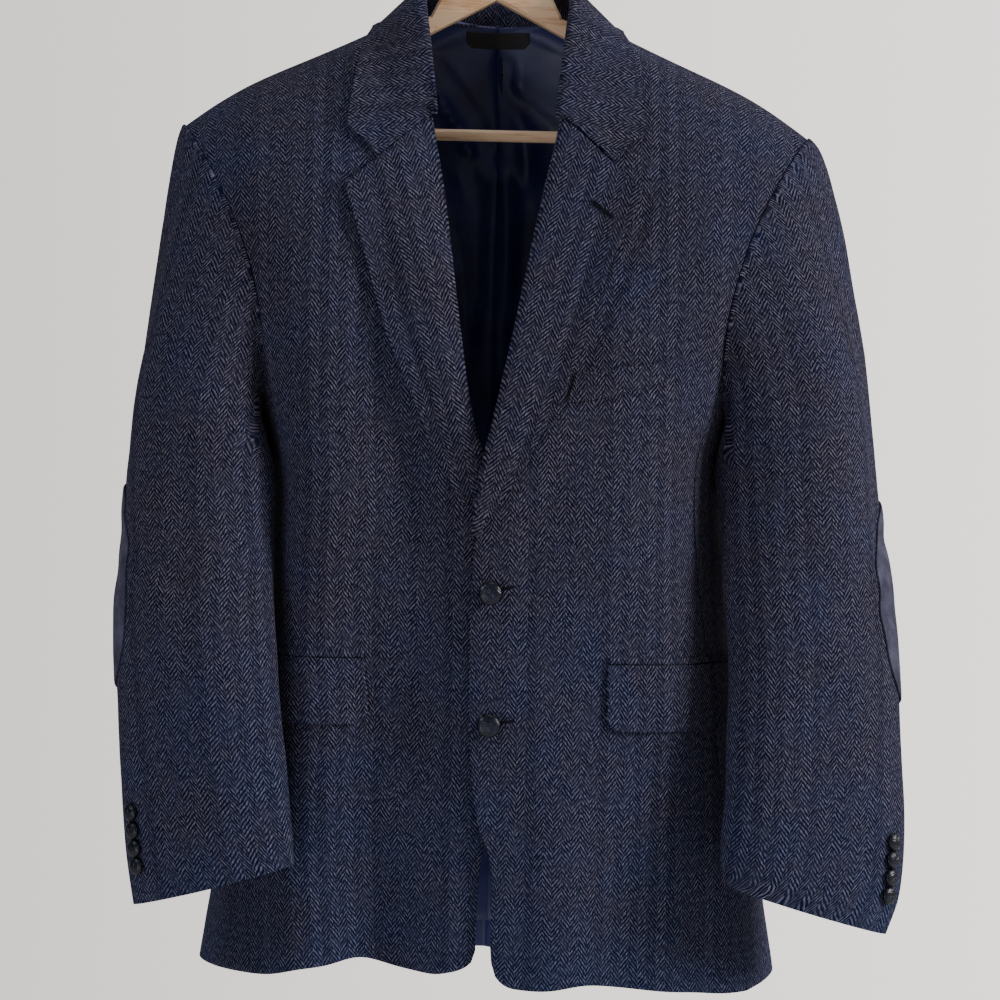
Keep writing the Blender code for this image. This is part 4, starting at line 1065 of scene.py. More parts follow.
def leather_material(looks):
    """Plaited button leather: dyed calf strips, polished. Dark domes with one soft highlight."""
    tree, shader, made = finish("Plaited button leather")
    place = add(tree, "ShaderNodeTexCoord").outputs["Object"]
    pores = add(tree, "ShaderNodeTexNoise", {"Vector": place, "Scale": 1600.0, "Detail": 3.0})
    cloud = add(tree, "ShaderNodeTexNoise", {"Vector": place, "Scale": 260.0, "Detail": 2.0})
    colour = add(tree, "ShaderNodeValToRGB", {0: cloud}, ramp=(
        (0.35, looks.leather), (0.70, linear("#121a38"))))
    # Painted shade round the dome's base, where it meets the cloth, over the darker rim where the
    # strips are pulled under
    rim = add(tree, "ShaderNodeTexCoord").outputs["Generated"]
    rim = add(tree, "ShaderNodeSeparateXYZ", {0: rim}).outputs["Z"]
    rim = add(tree, "ShaderNodeMapRange", {0: rim, 1: 0.60, 2: 0.86, 3: 0.12, 4: 1.0})
    colour = add(tree, "ShaderNodeVectorMath", {0: colour, "Scale": rim}, operation="SCALE")
    tree.links.new(colour.outputs[0], shader.inputs["Base Color"])
    gloss = add(tree, "ShaderNodeMapRange", {0: pores, 1: 0.3, 2: 0.7, 3: 0.26, 4: 0.40})
    tree.links.new(gloss.outputs[0], shader.inputs["Roughness"])
    bump = add(tree, "ShaderNodeBump", {"Height": pores, "Strength": 0.12, "Distance": 0.0002})
    tree.links.new(bump.outputs[0], shader.inputs["Normal"])
    return made


def thread_material():
    """Buttonhole twist: mercerised thread, hard-spun. A thin dark cord with a dull shine."""
    tree, shader, made = finish("Buttonhole twist")
    place = add(tree, "ShaderNodeTexCoord").outputs["Object"]
    ply = add(tree, "ShaderNodeTexNoise", {"Vector": place, "Scale": 1800.0, "Detail": 1.0})
    colour = add(tree, "ShaderNodeValToRGB", {0: ply}, ramp=(
        (0.35, linear("#04050d")), (0.70, linear("#0e1024"))))
    tree.links.new(colour.outputs[0], shader.inputs["Base Color"])
    bump = add(tree, "ShaderNodeBump", {"Height": ply, "Strength": 0.5, "Distance": 0.0002})
    tree.links.new(bump.outputs[0], shader.inputs["Normal"])
    shader.inputs["Roughness"].default_value = 0.75
    shader.inputs["Specular IOR Level"].default_value = 0.2
    return made


def label_material():
    """Woven label tape: flat polyester yarn in fine ribs. Left bare, with a faint satin line."""
    tree, shader, made = finish("Bare woven label")
    place = add(tree, "ShaderNodeUVMap", uv_map="Weave")
    ribs = add(tree, "ShaderNodeSeparateXYZ", {0: place})
    # Ribs 0.5 mm apart, coarser than the real tape so that they show
    ribs = add(tree, "ShaderNodeMath", {0: ribs.outputs["Y"], 1: 2 * math.pi / 0.0005},
               operation="MULTIPLY")
    ribs = add(tree, "ShaderNodeMath", {0: ribs}, operation="SINE")
    fleck = add(tree, "ShaderNodeTexNoise", {"Vector": place, "Scale": 1500.0})
    mixed = add(tree, "ShaderNodeMath", {0: ribs, 1: 0.12, 2: fleck}, operation="MULTIPLY_ADD")
    colour = add(tree, "ShaderNodeValToRGB", {0: mixed}, ramp=(
        (0.35, linear("#0b0c12")), (0.70, linear("#20212b"))))
    tree.links.new(colour.outputs[0], shader.inputs["Base Color"])
    bump = add(tree, "ShaderNodeBump", {"Height": ribs, "Strength": 0.3, "Distance": 0.0001})
    tree.links.new(bump.outputs[0], shader.inputs["Normal"])
    shader.inputs["Roughness"].default_value = 0.55
    return made


def wood_material(looks, name, stretch):
    """Varnished beech: sawn, sanded and sprayed clear. Pinkish straw with short dark flecks."""
    tree, shader, made = finish(name)
    place = add(tree, "ShaderNodeTexCoord").outputs["Object"]
    # Rings about 3 mm apart, drawn out along the board
    long_way = add(tree, "ShaderNodeVectorMath", {0: place, 1: stretch}, operation="MULTIPLY")
    rings = add(tree, "ShaderNodeTexNoise", {"Vector": long_way, "Scale": 1.0, "Detail": 4.0,
                                             "Distortion": 0.6})
    fine = add(tree, "ShaderNodeVectorMath", {0: long_way, 1: (6.0, 9.0, 9.0)},
               operation="MULTIPLY")
    fine = add(tree, "ShaderNodeTexNoise", {"Vector": fine, "Scale": 1.0, "Detail": 2.0})
    mixed = add(tree, "ShaderNodeMath", {0: fine, 1: 0.28, 2: rings}, operation="MULTIPLY_ADD")
    colour = add(tree, "ShaderNodeValToRGB", {0: mixed}, ramp=(
        (0.42, linear("#cc9868")), (0.60, looks.wood), (0.85, linear("#fbdcb6"))))
    # Small knots with darker hearts
    knots = add(tree, "ShaderNodeTexVoronoi", {"Vector": place, "Scale": 15.0})
    knots = add(tree, "ShaderNodeMapRange", {0: knots, 1: 0.05, 2: 0.16, 3: 0.75, 4: 0.0},
                interpolation_type="SMOOTHSTEP")
    heart = (*linear("#8a5a3c"), 1.0)
    colour = add(tree, "ShaderNodeMix", {"Factor": knots, "A": colour, "B": heart},
                 data_type="RGBA")
    tree.links.new(colour.outputs[2], shader.inputs["Base Color"])
    gloss = add(tree, "ShaderNodeMapRange", {0: fine, 1: 0.3, 2: 0.7, 3: 0.38, 4: 0.50})
    tree.links.new(gloss.outputs[0], shader.inputs["Roughness"])
    bump = add(tree, "ShaderNodeBump", {"Height": fine, "Strength": 0.12, "Distance": 0.0002})
    tree.links.new(bump.outputs[0], shader.inputs["Normal"])
    shader.inputs["Coat Weight"].default_value = 0.25
    shader.inputs["Coat Roughness"].default_value = 0.25
    return made


def wire_material():
    """Zinc-plated steel wire: drawn, then plated. Cool grey metal with faint lengthwise lines."""
    tree, shader, made = finish("Zinc-plated wire")
    place = add(tree, "ShaderNodeTexCoord").outputs["Object"]
    lines = add(tree, "ShaderNodeTexNoise", {"Vector": place, "Scale": 420.0, "Detail": 3.0})
    colour = add(tree, "ShaderNodeValToRGB", {0: lines}, ramp=(
        (0.30, linear("#b3b5b8")), (0.75, linear("#d8d9da"))))
    tree.links.new(colour.outputs[0], shader.inputs["Base Color"])
    gloss = add(tree, "ShaderNodeMapRange", {0: lines, 1: 0.3, 2: 0.7, 3: 0.22, 4: 0.36})
    tree.links.new(gloss.outputs[0], shader.inputs["Roughness"])
    shader.inputs["Metallic"].default_value = 1.0
    return made


def floor_material(looks):
    """Painted board: a flat pale emulsion that gives the eye nothing but soft light."""
    tree, shader, made = finish("Pale floor paint")
    place = add(tree, "ShaderNodeTexCoord").outputs["Object"]
    stipple = add(tree, "ShaderNodeTexNoise", {"Vector": place, "Scale": 3.0, "Detail": 3.0})
    tone = linear("#e9e8e5")
    colour = add(tree, "ShaderNodeValToRGB", {0: stipple}, ramp=(
        (0.3, [part * 0.97 for part in tone]), (0.7, tone)))
    tree.links.new(colour.outputs[0], shader.inputs["Base Color"])
    shader.inputs["Roughness"].default_value = 0.9
    return made


@lru_cache(maxsize=None)
def finishes():
    """Every finish of the jacket and hanger, by name."""
    looks = bpy.context.scene.jacket_looks
    return {
        "tweed": tweed_material(looks),
        "satin": satin_material(looks),
        "patch": patch_material(looks),
        "leather": leather_material(looks),
        "thread": thread_material(),
        "label": label_material(),
        "board": wood_material(looks, "Varnished beech board", (14.0, 220.0, 160.0)),
        "dowel": wood_material(looks, "Varnished beech dowel", (18.0, 420.0, 420.0)),
        "wire": wire_material(),
    }


# --- settings ------------------------------------------------------------------------
class JacketLooks(bpy.types.PropertyGroup):
    """Colours and sizes of the cloth that a user would change."""
    pale_yarn: bpy.props.FloatVectorProperty(
        name="Pale yarn", description="The floats of the herringbone", subtype="COLOR",
        size=3, min=0.0, max=1.0, default=linear("#545260"))
    warm_yarn: bpy.props.FloatVectorProperty(
        name="Warm yarn", description="The floats where the dye leans to brown",
        subtype="COLOR", size=3, min=0.0, max=1.0, default=linear("#58525a"))
    blue_yarn: bpy.props.FloatVectorProperty(
        name="Blue yarn", description="The floats where the dye leans to blue",
        subtype="COLOR", size=3, min=0.0, max=1.0, default=linear("#4a5168"))
    ground: bpy.props.FloatVectorProperty(
        name="Ground", description="The dark yarn between the floats", subtype="COLOR",
        size=3, min=0.0, max=1.0, default=linear("#040925"))
    lining: bpy.props.FloatVectorProperty(
        name="Lining", description="The satin inside the jacket", subtype="COLOR",
        size=3, min=0.0, max=1.0, default=linear("#363e78"))
    patch: bpy.props.FloatVectorProperty(
        name="Elbow patches", description="The suedecloth of the elbow patches",
        subtype="COLOR", size=3, min=0.0, max=1.0, default=linear("#47475a"))
    leather: bpy.props.FloatVectorProperty(
        name="Buttons", description="The plaited leather of the buttons", subtype="COLOR",
        size=3, min=0.0, max=1.0, default=linear("#050918"))
    wood: bpy.props.FloatVectorProperty(
        name="Hanger wood", description="The varnished beech of the hanger",
        subtype="COLOR", size=3, min=0.0, max=1.0, default=linear("#f8d0a6"))
    column: bpy.props.FloatProperty(
        name="Column", description="Width of one herringbone column", subtype="DISTANCE",
        unit="LENGTH", min=0.002, max=0.03, default=0.0070)
    line_pitch: bpy.props.FloatProperty(
        name="Line pitch", description="Height from one twill line to the next",
        subtype="DISTANCE", unit="LENGTH", min=0.001, max=0.01, default=0.0037)
    slope_angle: bpy.props.FloatProperty(
        name="Twill angle", description="Slope of the twill lines in degrees", min=20.0,
        max=75.0, default=53.0)


class JacketStage(bpy.types.PropertyGroup):
    """Where the jacket is seen from and how it is lit."""
    distance: bpy.props.FloatProperty(
        name="Camera distance", description="From the camera to the hanger",
        subtype="DISTANCE", unit="LENGTH", min=0.5, max=10.0, default=2.0)
    lens: bpy.props.FloatProperty(
        name="Lens", description="Focal length on a 36 mm sensor", subtype="DISTANCE_CAMERA",
        min=10.0, max=300.0, default=91.15)
    floor_drop: bpy.props.FloatProperty(
        name="Floor", description="How far the floor lies below the rail", subtype="DISTANCE",
        unit="LENGTH", min=0.9, max=3.0, default=1.45)
    floor_half: bpy.props.FloatProperty(
        name="Floor half width", description="From the middle of the floor to its edge",
        subtype="DISTANCE", unit="LENGTH", min=1.0, max=20.0, default=2.6)


# --- the operators -------------------------------------------------------------------
class JACKET_OT_stage(bpy.types.Operator):
    """Places the camera, the soft studio light and the pale floor"""
    bl_idname = "jacket.stage"
    bl_label = "Stage"

    def execute(self, context):
        settings = context.scene.jacket_stage
        camera = bpy.data.objects.new("Camera", bpy.data.cameras.new("Camera"))
        context.scene.collection.objects.link(camera)
        camera.location = (CAMERA_X, -settings.distance, CAMERA_Z)
        facing = Vector((0.0, 1.0, 0.0)).to_track_quat("-Z", "Y")
        camera.rotation_mode = "QUATERNION"
        roll = Quaternion((0.0, 0.0, 1.0), math.radians(CAMERA_ROLL))
        camera.rotation_quaternion = facing @ roll
        camera.data.lens, camera.data.sensor_width = settings.lens, 36.0
        context.scene.camera = camera
        form = bmesh.new()
        bmesh.ops.create_grid(form, x_segments=8, y_segments=8, size=settings.floor_half)
        mesh = bpy.data.meshes.new("floor")
        form.to_mesh(mesh)
        form.free()
        mesh.materials.append(floor_material(context.scene.jacket_looks))
        floor = bpy.data.objects.new("floor", mesh)
        floor.location = (0.0, 0.0, -settings.floor_drop)
        context.scene.collection.objects.link(floor)
        for name, place, size, power, colour in (
            ("Key", (2.5, -1.0, 0.4), 0.8, 58.0, "#faf6f8"),
            ("Fill", (-1.8, -1.1, 0.7), 0.7, 10.5, "#eef0ff"),
            ("Low", (-1.0, -1.6, -1.1), 0.8, 6.0, "#f4f4ff"),
            ("Top", (0.3, 0.0, 1.7), 1.4, 15.0, "#f4f3fb"),
        ):
            light = bpy.data.lights.new(name, "AREA")
            light.size, light.energy, light.color = size, power, linear(colour)
            lamp = bpy.data.objects.new(name, light)
            lamp.location = place
            aim = LIGHT_AIM - lamp.location
            lamp.rotation_euler = aim.to_track_quat("-Z", "Y").to_euler()
            context.scene.collection.objects.link(lamp)
        context.scene.world = self.pale_room()
        return {"FINISHED"}

    def pale_room(self):
        """A pale room, brightest behind the jacket and towards the key light."""
        world = bpy.data.worlds.new("Pale studio")
        world.use_nodes = True
        tree, sky = world.node_tree, world.node_tree.nodes["Background"]
        way = add(tree, "ShaderNodeTexCoord").outputs["Generated"]
        way = add(tree, "ShaderNodeSeparateXYZ", {0: way})
        wall = add(tree, "ShaderNodeMapRange",
                   {0: way.outputs["X"], 1: -0.25, 2: 0.25, 3: 1.36, 4: 2.30})
        deep = add(tree, "ShaderNodeMapRange",
                   {0: way.outputs["Y"], 1: 0.80, 2: 0.96, 3: 0.24, 4: wall},
                   interpolation_type="SMOOTHSTEP")
        lit = add(tree, "ShaderNodeMath", {0: way.outputs["X"], 1: 0.16, 2: deep},
                  operation="MULTIPLY_ADD")
        tree.links.new(lit.outputs[0], sky.inputs["Strength"])
        sky.inputs["Color"].default_value = (*linear("#e9e6e1"), 1.0)
        return world


class JACKET_OT_torso(bpy.types.Operator):
    """Cuts and hangs the fronts, side bodies and backs"""
    bl_idname = "jacket.torso"
    bl_label = "Fronts, sides and backs"

    def execute(self, context):
        cloth = (finishes()["tweed"], finishes()["satin"])
        for side, sign in SIDES.items():
            for panel, outside, dips in (
                ("front", (0, -1, 0), {"right": SIDE_SINK, "top": SCYE_SINK}),
                ("side", (sign, 0, 0), {"left": SIDE_SINK, "right": SIDE_SINK, "top": SIDE_SINK}),
                ("back", (0, 1, 0), {"left": SCYE_SINK, "right": SIDE_SINK, "top": SCYE_SINK}),
            ):
                rows = torso_rows(panel, side)
                starts = [sign * (row[0].x + SWAY * row[0].z) for row in rows]
                flat = grain(rows, 0, starts)
                if panel == "back":
                    flat = self.plumb(rows, flat, sign)
                facing = sign if panel != "back" else -sign
                shaped = sunk(rows, **dips) if facing > 0 else sunk_mirrored(rows, **dips)
                wide = flat
                if panel != "back":
                    shaped, wide = turned_under(shaped, wide, trunk_inwards, "last")
                elif side == "right":
                    shaped, wide = turned_under(shaped, wide, trunk_inwards, "first")
                piece = shell(f"{panel}_{side}_cloth", shaped, wide, Vector(outside), CLOTH, cloth,
                              rounded=0.0004)
                hang(piece, flat, node=f"{panel}_{side}")
        return {"FINISHED"}

    def plumb(self, rows, flat, sign):
        """A back's grain by height, and by breadth alone where it leans over the shoulder."""
        straight = []
        for k, (row, places) in enumerate(zip(rows, flat)):
            lay = min((len(rows) - 1 - k) / SHOULDER_ROWS, 1.0)
            straight.append([
                (u * lay + sign * (point.x + SWAY * point.z) * (1.0 - lay), point.z)
                for point, (u, _) in zip(row, places)])
        return straight


class JACKET_OT_sleeves(bpy.types.Operator):
    """Cuts and hangs the upper and under sleeves"""
    bl_idname = "jacket.sleeves"
    bl_label = "Sleeves"

    def execute(self, context):
        cloth = (finishes()["tweed"], finishes()["satin"])
        crown = seamed(28, 0.0, CROWN_PART, last=False)
        along = crown + steps(64, CROWN_PART, 1.0)[1:]
        for side in SIDES:
            heart = placed((SHOULDER_TIP + UNDERARM) / 2, side)
            for name, start, end, count in (
                ("top", "back", "front", 62), ("under", "front", "back", 36),
            ):
                rows, turns = [], []
                for at in along:
                    first, last = sleeve_seam(at, start), sleeve_seam(at, end)
                    last += 360.0 if last < first else 0.0
                    turns.append(seamed(count, first, last))
                    rows.append([sleeve_point(side, at, d) for d in turns[-1]])
                flat = grain(rows, count // 2 + 2)
                if name == "top":
                    flat = self.upright(side, rows, turns, flat)
                else:
                    hung = flat[len(crown)]
                    flat[:len(crown)] = [
                        [(low[0], place[1]) for low, place in zip(hung, places)]
                        for places in flat[:len(crown)]]
                flat = self.levelled(side, rows, flat, len(crown))
                dips = {"left": SIDE_SINK, "right": SIDE_SINK, "bottom": SCYE_SINK}
                shaped = sunk(rows, **dips) if side == "right" else sunk_mirrored(rows, **dips)
                upper_arm = rows[40]
                outside = upper_arm[count // 2] - (upper_arm[0] + upper_arm[-1]) / 2
                shaped, wide = turned_under(
                    shaped, flat, lambda p: (heart - p).normalized(), "bottom", SLEEVE_CLOTH)
                piece = shell(f"sleeve_{name}_{side}_cloth", shaped, wide, outside, SLEEVE_CLOTH,
                              cloth, outwards=True, rounded=0.0004)
                hang(piece, flat,
                     node=f"sleeve_{name}_{side}")
        return {"FINISHED"}

    def levelled(self, side, rows, flat, crown):
        """The sleeve's grain, its crown measured by height and its arm by length.

        Heights are taken along the line down the sleeve's outside.
        """
        outer = [sleeve_form(side, at, OUTER_LINE) for at in steps(40, CROWN_PART, 0.0)]
        run = [outer[0].z]
        for here, after in zip(outer, outer[1:]):
            run.append(run[-1] + (after - here).length)

        def height(z):
            if z <= outer[0].z:
                return z
            k = next((k for k, point in enumerate(outer) if point.z > z), len(outer) - 1)
            part = (z - outer[k - 1].z) / (outer[k].z - outer[k - 1].z)
            return run[k - 1] + (run[k] - run[k - 1]) * min(part, 2.0)

        level = []
        for k, (row, places) in enumerate(zip(rows, flat)):
            line = []
            for j, (point, place) in enumerate(zip(row, places)):
                if k < crown:
                    line.append((place[0], height(point.z)))
                else:
                    step = (point - rows[k - 1][j]).length_squared
                    step -= (place[0] - flat[k - 1][j][0]) ** 2
                    line.append((place[0], level[-1][j][1] - math.sqrt(max(step, 0.0))))
            level.append(line)
        return level

    def upright(self, side, rows, turns, flat):
        """The upper sleeve's grain with its columns hanging straight down from the crown.

        Distances round the sleeve are taken along level cuts, from a line down its outside.
        """
        angles = [OUTER_LINE + STRAND_STEP * k for k in range(-STRANDS_BACK, STRANDS_FRONT + 1)]
        strands = [[sleeve_form(side, at, angle) for at in steps(22, 0.0, 1.3 * CROWN_PART)]
                   for angle in angles]
        outer = strands[STRANDS_BACK]
        levels = [outer[0].z - CUT_STEP * k for k in range(CUTS)]

        def crossing(strand, level):
            for above, below in zip(strand, strand[1:]):
                if above.z >= level > below.z:
                    return above.lerp(below, (above.z - level) / (above.z - below.z))
            return None

        rounds = [[None] * len(levels) for _ in angles]
        for j, level in enumerate(levels):
            for way in (1, -1):
                walked, k, before = 0.0, STRANDS_BACK, crossing(outer, level)
                while before and 0 <= k < len(angles):
                    here = crossing(strands[k], level)
                    if here is None:
                        break
                    walked += way * (here - before).length
                    rounds[k][j], before, k = walked, here, k + way

        def distance(angle, z):
            place = min(max((angle - angles[0]) / STRAND_STEP, 0.0), len(angles) - 1.001)
            low, found = int(place), []
            for k in (low, low + 1):
                known = [(level, walked) for level, walked in zip(levels, rounds[k])
                         if walked is not None]
                over = [pair for pair in known if pair[0] >= z][-1:]
                under = [pair for pair in known if pair[0] < z][:1]
                near = over + under
                if not near:
                    return None
                if len(near) == 1:
                    found.append(near[0][1])
                else:
                    part = (near[0][0] - z) / (near[0][0] - near[1][0])
                    found.append(near[0][1] + (near[1][1] - near[0][1]) * part)
            return found[0] + (found[1] - found[0]) * (place - low)

        straight = []
        for row, angles_here, places in zip(rows, turns, flat):
            k = next(k for k, angle in enumerate(angles_here) if angle >= OUTER_LINE)
            part = (OUTER_LINE - angles_here[k - 1]) / (angles_here[k] - angles_here[k - 1])
            start = places[k - 1][0] + (places[k][0] - places[k - 1][0]) * part
            sign = 1.0 if places[-1][0] > places[0][0] else -1.0
            line = []
            for point, angle, (u, v) in zip(row, angles_here, places):
                own = min(max((CUTS_END_Z - point.z) / CUTS_FADE, 0.0), 1.0)
                cut = distance(angle, point.z) if own < 1.0 else None
                u -= start
                line.append((u if cut is None else u * own + sign * cut * (1.0 - own), v))
            straight.append(line)
        return straight


class JACKET_OT_lapels(bpy.types.Operator):
    """Rolls both lapels over the front edges"""
    bl_idname = "jacket.lapels"
    bl_label = "Lapels"

    def execute(self, context):
        lean = math.radians(LAPEL_LEAN)
        for side, sign in SIDES.items():
            rows = lapel_rows(side)
            flat = [[(sign * (p.x + SWAY * p.z) * math.cos(lean) - p.z * math.sin(lean),
                      p.z * math.cos(lean) + sign * (p.x + SWAY * p.z) * math.sin(lean))
                     for p in row] for row in rows]
            piece = shell(f"lapel_{side}_cloth", rows, flat, Vector((0, -1, 0)), LAPEL,
                          (finishes()["tweed"],), outwards=True, rounded=0.0008)
            hang(piece, flat,
                 node=f"lapel_{side}")
        return {"FINISHED"}


class JACKET_OT_collar(bpy.types.Operator):
    """Folds the collar round the neck"""
    bl_idname = "jacket.collar"
    bl_label = "Collar"

    def execute(self, context):
        rows = []
        places = [COLLAR_START + (1.0 - COLLAR_START) * part ** 1.15 for part in steps(54)]
        for side in ("right", "left"):
            body = surface(torso_rows("front", side), torso_rows("back", side))
            half = []
            for at in places:
                row = smoothed([placed(point, side) for point in collar_section(at, side)], 44)
                free = min(max((at - COLLAR_START) / 0.13, 0.0), 1.0)
                free = free * free * (3.0 - 2.0 * free)
                leaf = row[FOLD_COLUMN - 1:]
                for k, point in enumerate(leaf):
                    along = (k - 1) / (len(leaf) - 2)
                    leaf[k] = settled(point, body, point - CHEST, lapel_lift(along, 1.0), free)
                    edge = max(0.0, along - 0.75) / 0.25
                    leaf[k] += Vector((0.0, -1.0, 0.0)) * 0.0016 * edge * free
                half.append(row[:FOLD_COLUMN - 1] + leaf)
            rows += half if side == "right" else half[-2::-1]
        near = grain_along(rows, [row[FOLD_COLUMN] for row in rows])
        flat = [[(reach, away if k > FOLD_COLUMN else -away)
                 for k, (away, reach) in enumerate(row)] for row in near]
        piece = shell("collar_cloth", rows, flat, Vector((0, 0, 1)), LAPEL,
                      (finishes()["tweed"],), outwards=True, rounded=0.0009)
        hang(piece, flat,
             node="collar")
        return {"FINISHED"}


class JACKET_OT_pockets(bpy.types.Operator):
    """Lays the flaps, their jets and the breast welt"""
    bl_idname = "jacket.pockets"
    bl_label = "Pockets"

    def execute(self, context):
        tweed = finishes()["tweed"]
        for side, sign in SIDES.items():
            tree = surface(torso_rows("front", side), torso_rows("side", side))
            way = Vector((sign * 0.4, -1.0, 0.0))
            start, length = FLAP_START[side], FLAP_LENGTH
            rows, flat = [], []
            for down in [1.0 - part ** 1.3 for part in steps(26)]:
                reach = max(0.0, FLAP_CORNER - (1.0 - down) * FLAP_HEIGHT)
                inset = FLAP_CORNER - math.sqrt(FLAP_CORNER ** 2 - reach ** 2)
                z = FLAP_TOP_Z - FLAP_HEIGHT * down
                runs = steps(52, start + inset, start + length - inset)
                row = [placed(girth_point(side, z, d), side) for d in runs]
                lift = CLEAR + 0.0016 * down ** 1.5
                rows.append([lifted(p, tree, lift + 0.0007 * down * math.sin(9 * p.x + 2), way)
                             for p in row])
                flat.append([(d, z) for d in runs])
            flap = shell(f"flap_{side}_cloth", rows, flat, way, FLAP_CLOTH, (tweed,),
                         outwards=True, rounded=0.0008)
            jet_rows, jet_flat = [], []
            for up in steps(8):
                z = FLAP_TOP_Z + 0.0006 + JET_HEIGHT * up
                runs = steps(52, start + 0.001, start + length - 0.001)
                row = [placed(girth_point(side, z, d), side) for d in runs]
                lift = -0.0004 + 0.0015 * math.sin(math.pi * min(up * 0.8 + 0.1, 1.0))
                jet_rows.append([lifted(p, tree, lift, way) for p in row])
                jet_flat.append([(d, z) for d in runs])
            jet = shell(f"pocket_jet_{side}", jet_rows, jet_flat, way, 0.0006, (tweed,),
                        outwards=True, rounded=0.0002)
            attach(jet, "root")
            hang(flap, flat, node=f"flap_{side}")
        self.lay_welt(tweed)
        return {"FINISHED"}

    def lay_welt(self, tweed):
        """The breast pocket's welt, on the wearer's left, its mouth a little open."""
        tree, rows = front_tree("left"), []
        for up in steps(16):
            row = []
            for along in steps(44):
                x = WELT_START + WELT_LENGTH * along + 0.006 * up
                z = WELT_LOW_Z + WELT_RISE * along ** 1.6
                z += WELT_HEIGHT * up * (1.0 - 0.25 * along)
                gape = 0.0035 * up ** 2 * math.sin(math.pi * along)
                row.append(on_front(x - SWAY * z, z, tree, CLEAR + gape))
            rows.append(row)
        flat = [[(p.x + SWAY * p.z, p.z) for p in row] for row in rows]
        piece = shell("breast_welt_cloth", rows, flat, Vector((0, -1, 0)), FLAP_CLOTH, (tweed,),
                      outwards=True, rounded=0.0007)
        hang(piece, flat, node="breast_welt")


class JACKET_OT_patches(bpy.types.Operator):
    """Sews the elbow patches on, with their dark edge stitching"""
    bl_idname = "jacket.patches"
    bl_label = "Elbow patches"

    def execute(self, context):
        for side, sign in SIDES.items():
            longest = SLEEVE[side][-1].down
            rows, lift = [], SLEEVE_CLOTH + 1.5 * CLEAR
            for part in steps(56, -1.0, 1.0):
                up = math.sin(part * math.pi / 2)
                oval = (1.0 - abs(up) ** PATCH_SHAPE) ** (1 / PATCH_SHAPE)
                half = PATCH_HALF_ANGLE * max(0.05, oval)
                down = PATCH_TOP + PATCH_LONG * (1.0 + up) / 2
                along = CROWN_PART + (1.0 - CROWN_PART) * down / longest
                row = []
                for turn in steps(40, -1.0, 1.0):
                    turn = math.sin(turn * math.pi / 2 * 0.98)
                    angle = PATCH_ANGLE + half * turn
                    here = sleeve_point(side, along, angle)
                    ahead = sleeve_point(side, along, angle + 1.5)
                    lower = sleeve_point(side, along + 0.004, angle)
                    normal = (ahead - here).cross(lower - here).normalized()
                    normal = outwards_of(normal, Vector((sign, 0.3, 0.0)))
                    rim = max(abs(turn), abs(up)) ** 12
                    row.append(here + normal * (lift - 0.0007 * rim))
                rows.append(row)
            flat = grain(rows, 20)
            piece = shell(f"elbow_patch_{side}_cloth", rows, flat, Vector((sign, 0.3, 0)),
                          PATCH_CLOTH, (finishes()["patch"],), outwards=True, rounded=0.0006)
            hang(piece, flat,
                 node=f"elbow_patch_{side}")
            self.sew(side, rows)
        return {"FINISHED"}

    def sew(self, side, rows):
        """Dark stitches round the patch, just inside its edge."""
        ring = ([row[2] for row in rows[2:-2]] + rows[-3][3:-3]
                + [row[-3] for row in rows[-3:1:-1]] + rows[2][-4:2:-1])
        heart = sum(ring, Vector()) / len(ring)
        ring = smoothed(ring + ring[:1], 700)
        lift = outwards_of((ring[0] - heart).cross(ring[90] - heart).normalized(),
                           Vector((SIDES[side], 0.3, 0.0))) * (PATCH_CLOTH + 0.0002)
        strands, walked, strand = [], 0.0, []
        for here, after in zip(ring, ring[1:]):
            walked += (after - here).length
            if walked % STITCH_PITCH < STITCH_LENGTH:
                strand.append(here + lift)
            elif strand:
                strands.append(strand)
                strand = []
        cord(f"elbow_patch_{side}_stitches", [run for run in strands if len(run) > 2],
             STITCH_THICK, finishes()["thread"])


